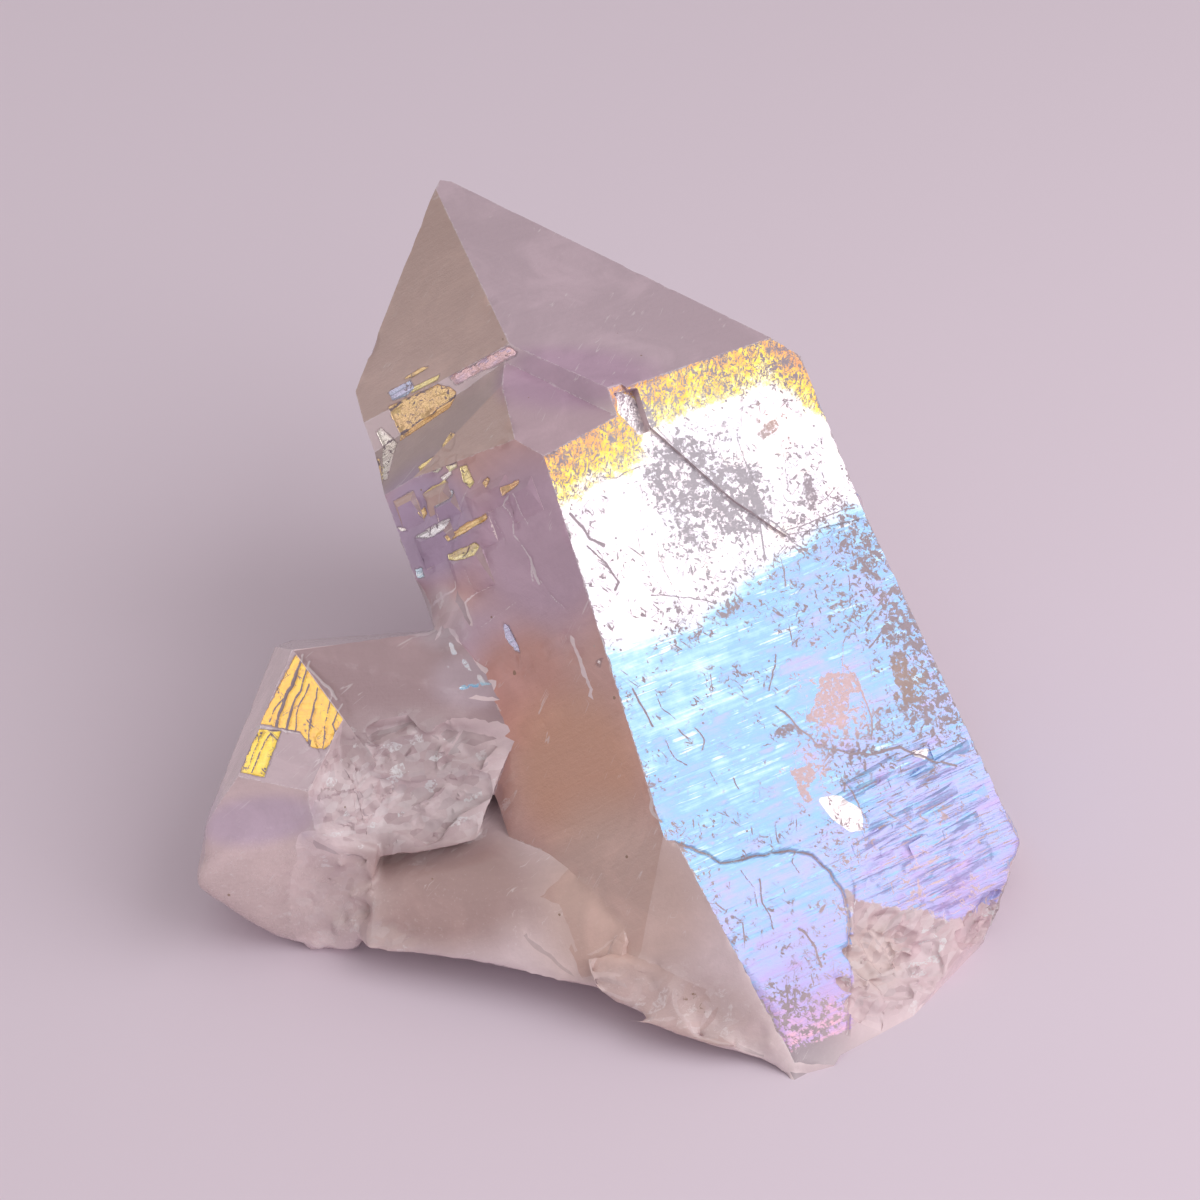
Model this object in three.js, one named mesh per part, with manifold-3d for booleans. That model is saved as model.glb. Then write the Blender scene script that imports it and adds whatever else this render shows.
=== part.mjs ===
// A quartz cluster: one large six-sided crystal leaning back and to the left, a short side crystal grown
// into its left flank, and the lumpy broken base they share.  Everything is one grown-together solid.
// Millimetres, +Z up.  It rests on the flat bottom where every lump and crystal is cut off level.
import * as THREE from "three";
import { ConvexGeometry } from "three/addons/geometries/ConvexGeometry.js";
import { mergeVertices } from "three/addons/utils/BufferGeometryUtils.js";
import Module from "manifold-3d";

const wasm = await Module();
wasm.setup();

// ---------------------------------------------------------------- driving dimensions
const RHOMB_ANGLE = 51.8; // degrees between a quartz point's long axis and its end-face normals

// The large crystal.  Heading turns its axis to the left of +Y, elevation lifts it off the ground, roll
// turns its faces about the axis.  Faces run clockwise seen from the point, starting with the bright one.
const MAIN = {
  core: [-6.1, 25.4, 8.2],
  heading: 29.1,
  elevation: 41.1,
  roll: 4.9,
  prism: [
    { name: "bright", distance: 10.9, lean: -1.9 },
    { name: "right", distance: 17.9, lean: 3.4 },
    { name: "back", distance: 18.6, lean: 1 },
    { name: "under", distance: 18.8, lean: 1 },
    { name: "left", distance: 15.4, lean: 1.2 },
    { name: "matt", distance: 15.2, lean: 2.2 },
  ],
  point: [
    { name: "pointBright", distance: 25.7, tilt: [-0.45, -1.6] },
    { name: "pointRight", distance: 28.5, tilt: [-0.5, -0.2] },
    { name: "pointBack", distance: 33.4, tilt: [0, 0] },
    { name: "pointUnder", distance: 36.0, tilt: [0, 0] },
    { name: "pointLeft", distance: 33.3, tilt: [0.75, -0.35] },
    { name: "pointMatt", distance: 26.7, tilt: [-1.9, -2.6] },
  ],
};
// The point is two parallel growths.  The taller one ends at its own matt-side wall, so a step runs below
// the two end faces; the lower one shows small copies of those end faces in front of that step.
const TALL_WALL = { azimuth: -123.5, elevation: 30.1, distance: 9.98 };
const TALL_RIGHT = 17.2; // distance of the taller growth's right face, a little fuller than the lower one's
const LOW_CAPS = [
  { azimuth: -176.6, elevation: 48.6, distance: 28.39 }, // lower copy of the matt end face
  { azimuth: -84.6, elevation: 83.9, distance: 23.65 }, // lower copy of the bright end face
];
const LOW_INSET = 0.5; // the lower growth hides this far inside the taller one's other end faces
const LOW_SINK = 0.2; // and this far below its two front end faces
const CHEST = { azimuth: -109.9, elevation: 27.9, distance: 16.4 }; // the lower part of the matt side

// Plates of later growth on the bright face: outline in face coordinates, and how far each stands out.
const CAP_PLATE = {
  outline: [[-1.9, 26.6], [-1.0, 22.7], [3.2, 15.9], [6.3, 12.2], [18, 11.2], [18, 30], [-1.9, 30]],
  proud: 0.3,
};
const FRONT_PLATE = {
  outline: [[-11.6, -5.6], [-5.0, -8.6], [-1.8, -9.3], [0.6, -10.9], [1.3, -13.0], [-0.7, -17.4],
    [-3.6, -23.2], [-6.5, -25.2], [-12, -25.5], [-14, -12]],
  proud: 0.45,
};

// The side crystal, a stub with its point up and to the left.
const SIDE_CORE = [-34, 22, 8];
const SIDE_FACES = [
  { azimuth: -55.6, elevation: 49.1, distance: 8.0 }, // gilded end face
  { azimuth: 176.2, elevation: 33.2, distance: 8.44 }, // narrow left end face
  { azimuth: -17.6, elevation: 52.7, distance: 8.2 }, // top end face
  { azimuth: 95.9, elevation: 54.9, distance: 10.17 }, // back end face
  { azimuth: -79.4, elevation: 8.5, distance: 8.11 }, // front
  { azimuth: 165.9, elevation: 10.8, distance: 6.4 }, // left
  { azimuth: -177.3, elevation: -46.6, distance: 8.2 }, // bevel under the left
  { azimuth: -147.8, elevation: -71.1, distance: 9.54 }, // bevel under the front corner
  { azimuth: 102, elevation: -8, distance: 9.5 }, // back
  { azimuth: -27.6, elevation: 6.6, distance: 3.4 }, // broken right side
];
// Its right-hand shoulder reaches the large crystal; its broken front ends below in an overhanging lip.
const SHOULDER_CORNERS = [
  [-36.1, 22.4, 19.9], // apex of the stub
  [-32.1, 20.4, 16.5], // crease above the broken front, left and right
  [-21.1, 20.7, 16.4],
  [-25.3, 25.9, 19.1], // top of the shoulder against the large crystal
  [-20.4, 18.9, 14.2], // right-hand side of the broken front
  [-21.5, 17.0, 11.8],
  [-22.5, 15.4, 10.2],
  [-23.0, 14.1, 9.1], // lip
  [-25.6, 13.7, 8.7],
  [-28.3, 13.7, 8.0],
  [-30.6, 14.0, 7.6],
  [-23.0, 19.5, 5.5], // under the lip
  [-30.0, 19.0, 4.5],
  [-22.0, 32.0, 13.6], // back
  [-27.0, 31.6, 14.0],
  [-34.0, 27.0, 6.0],
];
const SPARKLE_CORNERS = [ // a small raised facet where the shoulder's top meets the large crystal
  [-25.4, 26.0, 19.6],
  [-26.9, 23.4, 18.0],
  [-24.6, 20.9, 16.9],
  [-20.9, 20.8, 16.8],
  [-24.6, 22.0, 12.0],
  [-22.0, 27.0, 15.0],
];
const FOOT_CORNERS = [
  [-35.4, 13.4, 10.5],
  [-30.0, 13.6, 8.6],
  [-30.6, 11.6, 4.6],
  [-31.5, 10.9, 1.2],
  [-32.6, 11.6, -1],
  [-35.6, 12.0, -1],
  [-36.9, 12.4, 2.2],
  [-30.4, 20.0, -1],
  [-30.2, 20.0, 8.0],
  [-36.0, 20.0, 8.0],
];

// The milky base between the two crystals.
const BASE_CORNERS = [
  [-31.2, 11.2, 4.6],
  [-31.4, 9.7, 2.6],
  [-26.2, 8.9, 2.9],
  [-23.6, 8.3, 2.9],
  [-17.2, 6.0, 2.7],
  [-13.6, 4.9, 3.2],
  [-12.2, 6.6, 6.0],
  [-18.6, 9.8, 7.2],
  [-24.5, 11.4, 6.9],
  [-28.6, 12.6, 6.4],
  [-24.0, 22.0, 8.6],
  [-14.0, 14.0, 9.6],
  [-30.5, 22.0, 5.0],
  [-30.0, 18.0, -1],
  [-22.0, 12.0, -1],
  [-12.0, 8.0, -1],
  [-8.0, 22.0, -1],
  [-32.0, 29.0, 8.0], // behind, between the two crystals
  [-23.5, 33.0, 9.0],
  [-31.0, 30.0, -1],
  [-20.0, 36.0, -1],
];

const CHIN_CORNERS = [ // a blunt lump below the matt side, down to the toe
  [-15.2, 6.4, 5.4],
  [-14.6, 4.0, 4.0],
  [-13.4, 2.7, 3.0],
  [-10.6, 1.3, 1.8],
  [-7.8, 0.7, 1.2],
  [-4.9, 0.3, 0.5],
  [-0.7, -0.1, 0.0],
  [-1.8, 0.3, 2.2],
  [-7.0, 3.0, 4.1],
  [-11.3, 5.6, 5.2],
  [-12.0, 14.0, 4.0],
  [0.0, 8.0, 4.0],
  [-12.0, 14.0, -1],
  [0.0, 8.0, -1],
];

// The hollow under the front between the side crystal's foot and the toe, as the corners of its roof.
const HOLLOW_RIM = [
  [-31.4, 9.0, 2.6],
  [-23.6, 8.2, 3.0],
  [-17.1, 6.0, 3.0],
  [-14.6, 4.6, 3.0],
  [-13.4, 3.2, 2.2],
  [-10.6, 1.9, 1.1],
  [-4.9, 0.8, 0.1],
  [-0.7, -0.2, 0.0],
];
const HOLLOW_BACK = [
  [-29.5, 18.0, 0],
  [-20.0, 15.5, 0],
  [-12.0, 11.5, 0],
  [-4.0, 4.5, 0],
];
const HOLLOW_REACH = 9; // the rim is carried this far forward so that nothing hangs below it
const HOLLOW_BOTTOM = -4;

// The broken lower right: planes that knock the corner off, given by a point on each and its direction.
const BREAKS = [
  { through: [16.6, 17.9, 5.0], azimuth: -15, elevation: -15 },
  { through: [15.1, 14.3, 3.1], azimuth: -36, elevation: -5 },
  { through: [17.4, 25.0, 3.0], azimuth: -6, elevation: -26 },
];
const TOE_BREAK = { through: [0.6, -0.1, 0.8], azimuth: -70, elevation: 12 };

// Growth steps: shallow wedges lying on a face like roof tiles.  Each has its raised edge at height v
// between two u positions, and fades out towards the base of the crystal.
const MATT_STEPS = [
  { u: [-5.8, -3.4], v: 23.7, rise: 0.3, fade: 1.8 },
  { u: [-8.4, -6.4], v: 24.2, rise: 0.3, fade: 2.4 },
  { u: [-5.3, -3.1], v: 22.7, rise: 0.3, fade: 1.6 },
  { u: [-7.8, -4.3], v: 21.1, rise: 0.35, fade: 2.6 },
  { u: [-5.2, -1.0], v: 20.0, rise: 0.3, fade: 2.0 },
  { u: [-5.7, -2.5], v: 18.5, rise: 0.4, fade: 3.2 },
  { u: [-8.9, -5.6], v: 16.2, rise: 0.35, fade: 3.0 },
  { u: [-2.4, 1.6], v: 22.2, rise: 0.3, fade: 2.0 },
  { u: [1.0, 3.6], v: 21.2, rise: 0.3, fade: 2.6 },
  { u: [-6.5, 2.0], v: 9.6, rise: 0.25, fade: 5.0 },
];
// Shingle-like steps on the lower right of the bright face.  Each row holds a few, `spread` apart; they
// start between the two left values and climb across the face by `lean`.
const SHINGLES = {
  rows: [-6.4, -18.6],
  pitch: 0.85,
  perRow: 2,
  left: [1.6, 8.5],
  spread: 3,
  right: 14.6,
  length: [2.2, 6.5],
  rise: [0.1, 0.24],
  fade: [0.9, 1.5],
  lean: 0.16,
  seed: 5,
};
const BACK_STEPS = { // the faces turned away from the front
  lean: 0.05,
  right: [
    { u: [0.5, 8.0], v: 14.0, rise: 0.35, fade: 6 },
    { u: [1.0, 9.0], v: 5.5, rise: 0.3, fade: 5 },
    { u: [0.0, 6.0], v: -2.0, rise: 0.3, fade: 4 },
  ],
  back: [
    { u: [-8.0, 6.0], v: 19.0, rise: 0.4, fade: 7 },
    { u: [-3.0, 9.0], v: 9.0, rise: 0.3, fade: 6 },
  ],
  under: [
    { u: [-8.0, 4.0], v: 24.0, rise: 0.4, fade: 6 },
    { u: [-2.0, 9.0], v: 15.0, rise: 0.35, fade: 5 },
  ],
  left: [
    { u: [-6.0, 6.0], v: 22.0, rise: 0.35, fade: 4 },
    { u: [-7.0, 2.0], v: 13.0, rise: 0.3, fade: 4 },
  ],
};

// A small square-cut notch in the step's right-hand end, as its outline on the bright face.
const NOTCH = { outline: [[-2.7, 25.9], [-0.9, 25.7], [-1.1, 22.5], [-2.1, 22.4]], depth: 0.5 };

// Broken surfaces: angular chips knocked out of a patch, whose corners run anticlockwise seen from outside.
// Size is a chip's half length along the surface, and depth is how far it goes in.
const BROKEN = [
  { // front of the shoulder
    patch: [[-31.4, 19.4, 15.4], [-30.4, 15.0, 9.4], [-23.6, 15.0, 10.0], [-22.2, 19.3, 14.8]],
    pieces: 26, size: [1.6, 3.4], depth: [0.35, 0.8],
  },
  { // front of the stub's foot
    patch: [[-34.6, 13.6, 10.4], [-34.6, 12.4, 1.8], [-32.0, 11.7, 2.0], [-31.2, 13.5, 8.0]],
    pieces: 14, size: [1.2, 2.6], depth: [0.2, 0.45],
  },
  { // milky base
    patch: [[-27.6, 12.2, 6.4], [-25.0, 9.6, 4.4], [-15.0, 6.6, 4.8], [-16.0, 9.0, 7.2]],
    pieces: 5, size: [2.5, 5.0], depth: [0.12, 0.25],
  },
  { // chin
    patch: [[-13.6, 5.6, 5.0], [-12.4, 3.6, 3.4], [-2.5, 0.9, 1.0], [-3.6, 1.8, 2.6]],
    pieces: 9, size: [1.6, 3.4], depth: [0.15, 0.35],
  },
  { // broken lower right of the large crystal
    patch: [[4.2, 10.0, 5.8], [4.2, 3.4, 0.9], [10.0, 8.2, 1.2], [8.2, 10.4, 4.0]],
    pieces: 26, size: [1.0, 2.6], depth: [0.4, 0.8],
  },
  { // its ragged right-hand rim
    patch: [[11.6, 11.6, 2.8], [11.6, 10.2, 1.0], [16.4, 17.6, 2.6], [16.0, 17.4, 4.6]],
    pieces: 12, size: [0.9, 2.0], depth: [0.3, 0.6],
  },
  { // ragged back of the base, where the cluster broke off its rock: right, back and left
    patch: [[15.3, 23.0, 4.6], [14.4, 24.0, 0.3], [14.6, 32.0, 0.3], [13.4, 32.0, 4.6]],
    pieces: 9, size: [1.6, 3.6], depth: [0.4, 0.9],
  },
  {
    patch: [[13.2, 33.0, 4.6], [14.0, 33.0, 0.3], [-6.0, 46.3, 0.3], [-6.5, 49.0, 4.6]],
    pieces: 18, size: [2.0, 4.0], depth: [0.5, 1.0],
  },
  {
    patch: [[-11.0, 50.0, 4.6], [-9.0, 46.8, 0.3], [-21.5, 37.5, 0.3], [-24.0, 41.0, 4.6]],
    pieces: 12, size: [2.0, 4.0], depth: [0.5, 1.0],
  },
];
const BROKEN_SEED = 11;
const CHIP_CORNERS = 11; // random corners that make one angular chip
const CHIP_NARROW = 0.6; // a chip's width as a share of its length
const CHIP_CLEAR = 2.5; // how far a chip reaches outside the stone, so that it never leaves a roof
const CHIP_TURN = 35; // degrees a chip may lie away from the patch's own direction

const BURIED = 1.5; // how far the solids reach below the ground before the bottom is cut off level
const ROOT = 4; // how deep plates of later growth reach into the stone
const BASE_CENTRE = [-13.377, 30.364]; // middle of the finished footprint box

// ---------------------------------------------------------------- small vector helpers
const DEG = Math.PI / 180;
const vec = (p) => new THREE.Vector3(...p);

/** Unit normal from an azimuth about +Z and an elevation above level, in degrees. */
function direction(azimuth, elevation) {
  const flat = Math.cos(elevation * DEG);
  return new THREE.Vector3(
    flat * Math.cos(azimuth * DEG),
    flat * Math.sin(azimuth * DEG),
    Math.sin(elevation * DEG),
  );
}

/** A half-space: everything on the inner side of the plane `distance` from `core` along `normal`. */
const halfSpace = (normal, core, distance) => ({ normal, offset: normal.dot(core) + distance });

const aimed = (core, face) => halfSpace(direction(face.azimuth, face.elevation), core, face.distance);

/** Tips a normal by two small angles in degrees, about the level direction in its plane and across it. */
function tipped(normal, [first, second]) {
  const level = normal.clone().cross(new THREE.Vector3(0, 0, 1)).normalize();
  const across = normal.clone().cross(level);
  return normal
    .clone()
    .addScaledVector(level, first * DEG)
    .addScaledVector(across, second * DEG)
    .normalize();
}

// ---------------------------------------------------------------- solids
function toSolid(geometry) {
  const bare = new THREE.BufferGeometry().setAttribute("position", geometry.getAttribute("position"));
  if (geometry.index) bare.setIndex(geometry.index);
  const merged = mergeVertices(bare, 1e-4);
  return new wasm.Manifold(
    new wasm.Mesh({
      numProp: 3,
      vertProperties: merged.attributes.position.array,
      triVerts: new Uint32Array(merged.index.array),
    }),
  );
}

const hull = (points) => toSolid(new ConvexGeometry(points));

/** The convex solid inside every half-space: corners are the triple meetings that no plane cuts off. */
function cutStone(planes) {
  const corners = [];
  for (let i = 0; i < planes.length; i++)
    for (let j = i + 1; j < planes.length; j++)
      for (let k = j + 1; k < planes.length; k++) {
        const [a, b, c] = [planes[i], planes[j], planes[k]];
        const bc = b.normal.clone().cross(c.normal);
        const det = a.normal.dot(bc);
        if (Math.abs(det) < 1e-5) continue;
        const corner = bc
          .multiplyScalar(a.offset)
          .addScaledVector(c.normal.clone().cross(a.normal), b.offset)
          .addScaledVector(a.normal.clone().cross(b.normal), c.offset)
          .divideScalar(det);
        if (planes.every((p) => p.normal.dot(corner) < p.offset + 1e-5)) corners.push(corner);
      }
  return hull(corners);
}

/** Named half-spaces of a quartz crystal, from its axis frame. */
function quartzFaces({ core, heading, elevation, roll, prism, point }) {
  const [h, e] = [heading * DEG, elevation * DEG];
  const axis = new THREE.Vector3(
    -Math.sin(h) * Math.cos(e),
    Math.cos(h) * Math.cos(e),
    Math.sin(e),
  );
  const side = axis.clone().cross(new THREE.Vector3(0, 0, 1)).normalize();
  const top = side.clone().cross(axis);
  const middle = vec(core);
  const faces = {};
  const outwards = {};
  for (let k = 0; k < 6; k++) {
    const turn = (roll + 60 * k) * DEG;
    const outward = top.clone().multiplyScalar(Math.cos(turn)).addScaledVector(side, Math.sin(turn));
    outwards[prism[k].name] = outward;
    const lean = prism[k].lean * DEG;
    const wall = outward.clone().multiplyScalar(Math.cos(lean)).addScaledVector(axis, Math.sin(lean));
    faces[prism[k].name] = halfSpace(wall, middle, prism[k].distance);
    const slope = RHOMB_ANGLE * DEG;
    const end = axis.clone().multiplyScalar(Math.cos(slope)).addScaledVector(outward, Math.sin(slope));
    faces[point[k].name] = halfSpace(tipped(end, point[k].tilt), middle, point[k].distance);
  }
  return { axis, middle, faces, outward: outwards };
}

/** Rectangular coordinates on a face: u runs across the crystal, v along it towards the point. */
function faceGrid(crystal, plane) {
  const { normal, offset } = plane;
  const origin = crystal.middle.clone().addScaledVector(normal, offset - normal.dot(crystal.middle));
  const u = crystal.axis.clone().cross(normal).normalize();
  const v = normal.clone().cross(u);
  const at = (x, y, out) =>
    origin.clone().addScaledVector(u, x).addScaledVector(v, y).addScaledVector(normal, out);
  return { at };
}

/** A flat plate on a face between two heights, from its outline in face coordinates. */
const slab = (grid, outline, from, to) =>
  hull([from, to].flatMap((out) => outline.map(([x, y]) => grid.at(x, y, out))));

/** One growth step: a raised edge with a sloping front, thinning away behind it into the face. */
function growthStep(grid, { u: [from, to], v, rise, fade }, lean) {
  const climb = (to - from) * lean;
  const slope = Math.min(0.6, fade / 3); // length of the sloping front
  const taper = Math.min(1.2, 0.18 * (to - from)); // the raised edge is this much shorter at each end
  const skin = 0.02;
  const sink = -0.3;
  return hull([
    grid.at(from, v, sink), grid.at(to, v + climb, sink),
    grid.at(from, v, skin), grid.at(to, v + climb, skin),
    grid.at(from + taper, v - slope, rise), grid.at(to - taper, v + climb - slope, rise),
    grid.at(from, v - fade, skin), grid.at(to, v + climb - fade, skin),
    grid.at(from, v - fade, sink), grid.at(to, v + climb - fade, sink),
  ]);
}

/** Repeatable random numbers from 0 to 1. */
function dice(seed) {
  let state = seed;
  return () => {
    state = (Math.imul(state, 1664525) + 1013904223) >>> 0;
    return state / 2 ** 32;
  };
}

/** Short steps in rows down a face, each with its own place, length and height. */
function shingles({ rows: [top, bottom], pitch, perRow, left, spread, right, length, rise, fade, seed }) {
  const roll = dice(seed);
  const between = ([low, high]) => low + (high - low) * roll();
  const steps = [];
  for (let v = top; v > bottom; v -= pitch)
    for (let i = 0; i < perRow; i++) {
      const from = between(left) + spread * i;
      const to = Math.min(right, from + between(length));
      const step = { u: [from, to], v: v + roll() * pitch, rise: between(rise), fade: between(fade) };
      if (to - from > 1) steps.push(step);
    }
  return steps;
}

/** Angular chips scattered over a patch: flattened random hulls centred on its surface. */
function chips({ patch, pieces, size, depth }, roll) {
  const [a, b, c, d] = patch.map(vec);
  const outward = c.clone().sub(a).cross(d.clone().sub(b)).normalize();
  const along = d.clone().sub(a).normalize();
  const between = ([low, high]) => low + (high - low) * roll();
  return Array.from({ length: pieces }, () => {
    const [s, t] = [roll(), roll()];
    const at = a.clone().lerp(d, s).lerp(b.clone().lerp(c, s), t);
    const long = along.clone().applyAxisAngle(outward, (2 * roll() - 1) * CHIP_TURN * DEG);
    const wide = outward.clone().cross(long);
    const [reach, bite] = [between(size), between(depth)];
    return hull(Array.from({ length: CHIP_CORNERS }, () => {
      const spot = new THREE.Vector3(roll() - 0.5, roll() - 0.5, roll() - 0.5).normalize();
      return at
        .clone()
        .addScaledVector(long, spot.x * reach)
        .addScaledVector(wide, spot.y * reach * CHIP_NARROW)
        .addScaledVector(outward, spot.z * (spot.z < 0 ? bite : CHIP_CLEAR));
    }));
  });
}

/** The half-space through a point, facing an azimuth and elevation. */
function through({ through: point, azimuth, elevation }) {
  const normal = direction(azimuth, elevation);
  return { normal, offset: normal.dot(vec(point)) };
}

/** A block large enough to remove everything outside one half-space. */
function beyond({ normal, offset }) {
  const size = 160;
  const turn = new THREE.Quaternion().setFromUnitVectors(new THREE.Vector3(0, 0, 1), normal);
  const block = new THREE.BoxGeometry(size, size, size).translate(0, 0, size / 2);
  return toSolid(block.applyQuaternion(turn).translate(...normal.clone().multiplyScalar(offset).toArray()));
}

const moved = (plane, by) => ({ normal: plane.normal, offset: plane.offset + by });

// ---------------------------------------------------------------- the large crystal
const main = quartzFaces(MAIN);
const face = main.faces;
const down = new THREE.Vector3(0, 0, -1);
const floor = { normal: down, offset: BURIED };
const fullerRight = halfSpace(main.outward.right, main.middle, TALL_RIGHT);

const tallPlanes = [
  fullerRight,
  ...["back", "under", "left"].map((n) => face[n]),
  aimed(main.middle, TALL_WALL),
  aimed(main.middle, CHEST),
  ...MAIN.point.map((p) => face[p.name]),
  floor,
];
const tall = cutStone([face.bright, ...tallPlanes]);
const low = cutStone([
  ...MAIN.prism.map((p) => face[p.name]),
  ...["pointRight", "pointBack", "pointUnder", "pointLeft"].map((n) => moved(face[n], -LOW_INSET)),
  ...["pointBright", "pointMatt"].map((n) => moved(face[n], -LOW_SINK)),
  ...LOW_CAPS.map((f) => aimed(main.middle, f)),
  aimed(main.middle, CHEST),
  floor,
]);

const bright = faceGrid(main, face.bright);
const matt = faceGrid(main, face.matt);
const capPlate = cutStone([moved(face.bright, CAP_PLATE.proud), ...tallPlanes]).intersect(
  slab(bright, CAP_PLATE.outline, -ROOT, ROOT),
);
const frontPlate = slab(bright, FRONT_PLATE.outline, -ROOT, FRONT_PLATE.proud).intersect(
  cutStone([
    moved(face.bright, FRONT_PLATE.proud),
    aimed(main.middle, CHEST),
    through(TOE_BREAK),
    ...["right", "back", "under", "left"].map((n) => face[n]),
    floor,
  ]),
);

// ---------------------------------------------------------------- the side crystal and the base
const side = cutStone([...SIDE_FACES.map((f) => aimed(vec(SIDE_CORE), f)), floor]);
const shoulder = hull(SHOULDER_CORNERS.map(vec));
const sparkle = hull(SPARKLE_CORNERS.map(vec));
const foot = hull(FOOT_CORNERS.map(vec));
const base = hull(BASE_CORNERS.map(vec));
const chin = hull(CHIN_CORNERS.map(vec));

const steps = [
  ...MATT_STEPS.map((step) => growthStep(matt, step, 0)),
  ...shingles(SHINGLES).map((step) => growthStep(bright, step, SHINGLES.lean)),
  ...["right", "back", "under", "left"].flatMap((name) => {
    const grid = faceGrid(main, name === "right" ? fullerRight : face[name]);
    return BACK_STEPS[name].map((step) => growthStep(grid, step, BACK_STEPS.lean));
  }),
];
let stone = [low, capPlate, frontPlate, side, shoulder, sparkle, foot, base, chin, ...steps].reduce(
  (all, s) => all.add(s),
  tall,
);

// ---------------------------------------------------------------- broken and hollowed places
for (const plane of BREAKS) stone = stone.subtract(beyond(through(plane)));
const roll = dice(BROKEN_SEED);
for (const region of BROKEN) for (const chip of chips(region, roll)) stone = stone.subtract(chip);
stone = stone.subtract(slab(bright, NOTCH.outline, -NOTCH.depth, ROOT));
const hollow = hull([
  ...HOLLOW_RIM.map(vec),
  ...HOLLOW_RIM.map(([x, y, z]) => new THREE.Vector3(x, y - HOLLOW_REACH, z)),
  ...HOLLOW_RIM.map(([x, y]) => new THREE.Vector3(x, y - HOLLOW_REACH, HOLLOW_BOTTOM)),
  ...HOLLOW_BACK.map(vec),
  ...HOLLOW_BACK.map(([x, y]) => new THREE.Vector3(x, y, HOLLOW_BOTTOM)),
]);
stone = stone.subtract(hollow);
stone = stone.subtract(beyond({ normal: down, offset: 0 }));

// Crumbs that the chips cut loose fall away.
stone = stone.decompose().reduce((largest, body) => (body.volume() > largest.volume() ? body : largest));

// ---------------------------------------------------------------- mesh out
const cut = stone.getMesh();
const positions = new Float32Array(cut.numVert * 3);
for (let i = 0; i < cut.numVert; i++)
  positions.set(cut.vertProperties.subarray(i * cut.numProp, i * cut.numProp + 3), i * 3);
const geometry = new THREE.BufferGeometry()
  .setAttribute("position", new THREE.BufferAttribute(positions, 3))
  .setIndex(new THREE.BufferAttribute(new Uint32Array(cut.triVerts), 1))
  .translate(-BASE_CENTRE[0], -BASE_CENTRE[1], 0);
geometry.computeVertexNormals();

const cluster = new THREE.Mesh(
  geometry,
  new THREE.MeshStandardMaterial({ name: "quartz", color: 0xd9cdd6, roughness: 0.15, flatShading: true }),
);
cluster.name = "quartz_cluster";

const group = new THREE.Group();
group.name = "angel_aura_quartz_cluster";
group.add(cluster);
export default group;
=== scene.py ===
"""Looks of the angel aura quartz cluster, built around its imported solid.

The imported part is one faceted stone. Its mesh is copied, cut into small even triangles that
stay on the same flat faces, and then worked as the real stone is: growth ridges, cracks, nicks,
flaked breaks, sunk patches and softened milky lumps. One procedural finish gives the
vapour-deposited film its interference colours, and the stone under it its milky body.
Lengths inside the classes are millimetres in the part's frame, and become metres where a mesh
is handed to Blender.
"""

import logging
from collections.abc import Iterator
from dataclasses import dataclass, field, replace
from enum import IntEnum

import bpy
import numpy as np
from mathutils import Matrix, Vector
from numpy.typing import NDArray


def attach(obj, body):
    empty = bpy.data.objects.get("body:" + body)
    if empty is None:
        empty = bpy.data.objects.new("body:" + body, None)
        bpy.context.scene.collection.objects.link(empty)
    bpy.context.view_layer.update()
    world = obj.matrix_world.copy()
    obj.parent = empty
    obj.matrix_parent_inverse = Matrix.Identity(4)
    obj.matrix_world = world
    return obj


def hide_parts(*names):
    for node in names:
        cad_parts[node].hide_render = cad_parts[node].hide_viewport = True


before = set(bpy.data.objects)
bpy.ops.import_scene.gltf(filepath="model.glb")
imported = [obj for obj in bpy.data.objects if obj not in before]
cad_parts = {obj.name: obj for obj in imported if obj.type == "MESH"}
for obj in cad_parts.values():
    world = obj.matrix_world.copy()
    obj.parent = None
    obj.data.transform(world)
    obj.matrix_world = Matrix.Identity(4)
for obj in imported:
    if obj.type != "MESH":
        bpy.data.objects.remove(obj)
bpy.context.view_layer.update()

Array = NDArray[np.float64]
Index = NDArray[np.int64]
Triple = tuple[float, float, float]
Colour = Triple
Spot = tuple[float, float]
Band = tuple[float, float]
Socket = bpy.types.NodeSocket

NODE = "quartz_cluster"
METRES = 0.001
FAR = 99.0  # millimetres, where nothing was in reach
HUGE = 1e9
FLOOR_BAND = 0.01  # points lower than this rest on the floor
LOG = logging.getLogger("quartz_cluster")


# ------------------------------------------------------------------ small array tools


def unit(vectors: Array) -> Array:
    """Each row divided by its own length.

    Args:
        vectors: Rows of three numbers, or one such row.

    Returns:
        Rows of length one, or of zeros where the length was zero.
    """
    length = np.linalg.norm(vectors, axis=-1, keepdims=True)
    return vectors / np.maximum(length, 1e-12)


def ease(low: float, high: float, values: Array) -> Array:
    """A smooth step: 0 below low, 1 above high and 3t² − 2t³ between them."""
    t = np.clip((values - low) / (high - low), 0.0, 1.0)
    return t * t * (3.0 - 2.0 * t)


CELL_PRIMES = (73856093, 19349663, 83492791)
SEED_PRIME = 2654435
SCRAMBLES = ((13, 1274126177), (15, 2246822519))


def hashed(cells: Index, seed: int) -> Array:
    """A random number for each lattice cell, the same every time.

    The three cell numbers are multiplied by large primes, combined, and scrambled by shifting
    and multiplying.

    Args:
        cells: Rows of three whole numbers.
        seed: Which field of numbers to use.

    Returns:
        One value per row, between 0 and 1.
    """
    code = seed * SEED_PRIME
    for axis, prime in enumerate(CELL_PRIMES):
        code = code ^ cells[:, axis] * prime
    for shift, prime in SCRAMBLES:
        code = ((code ^ (code >> shift)) * prime) & 0xFFFFFFFF
    return ((code ^ (code >> 13)) & 0xFFFF) / 65535.0


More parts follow.
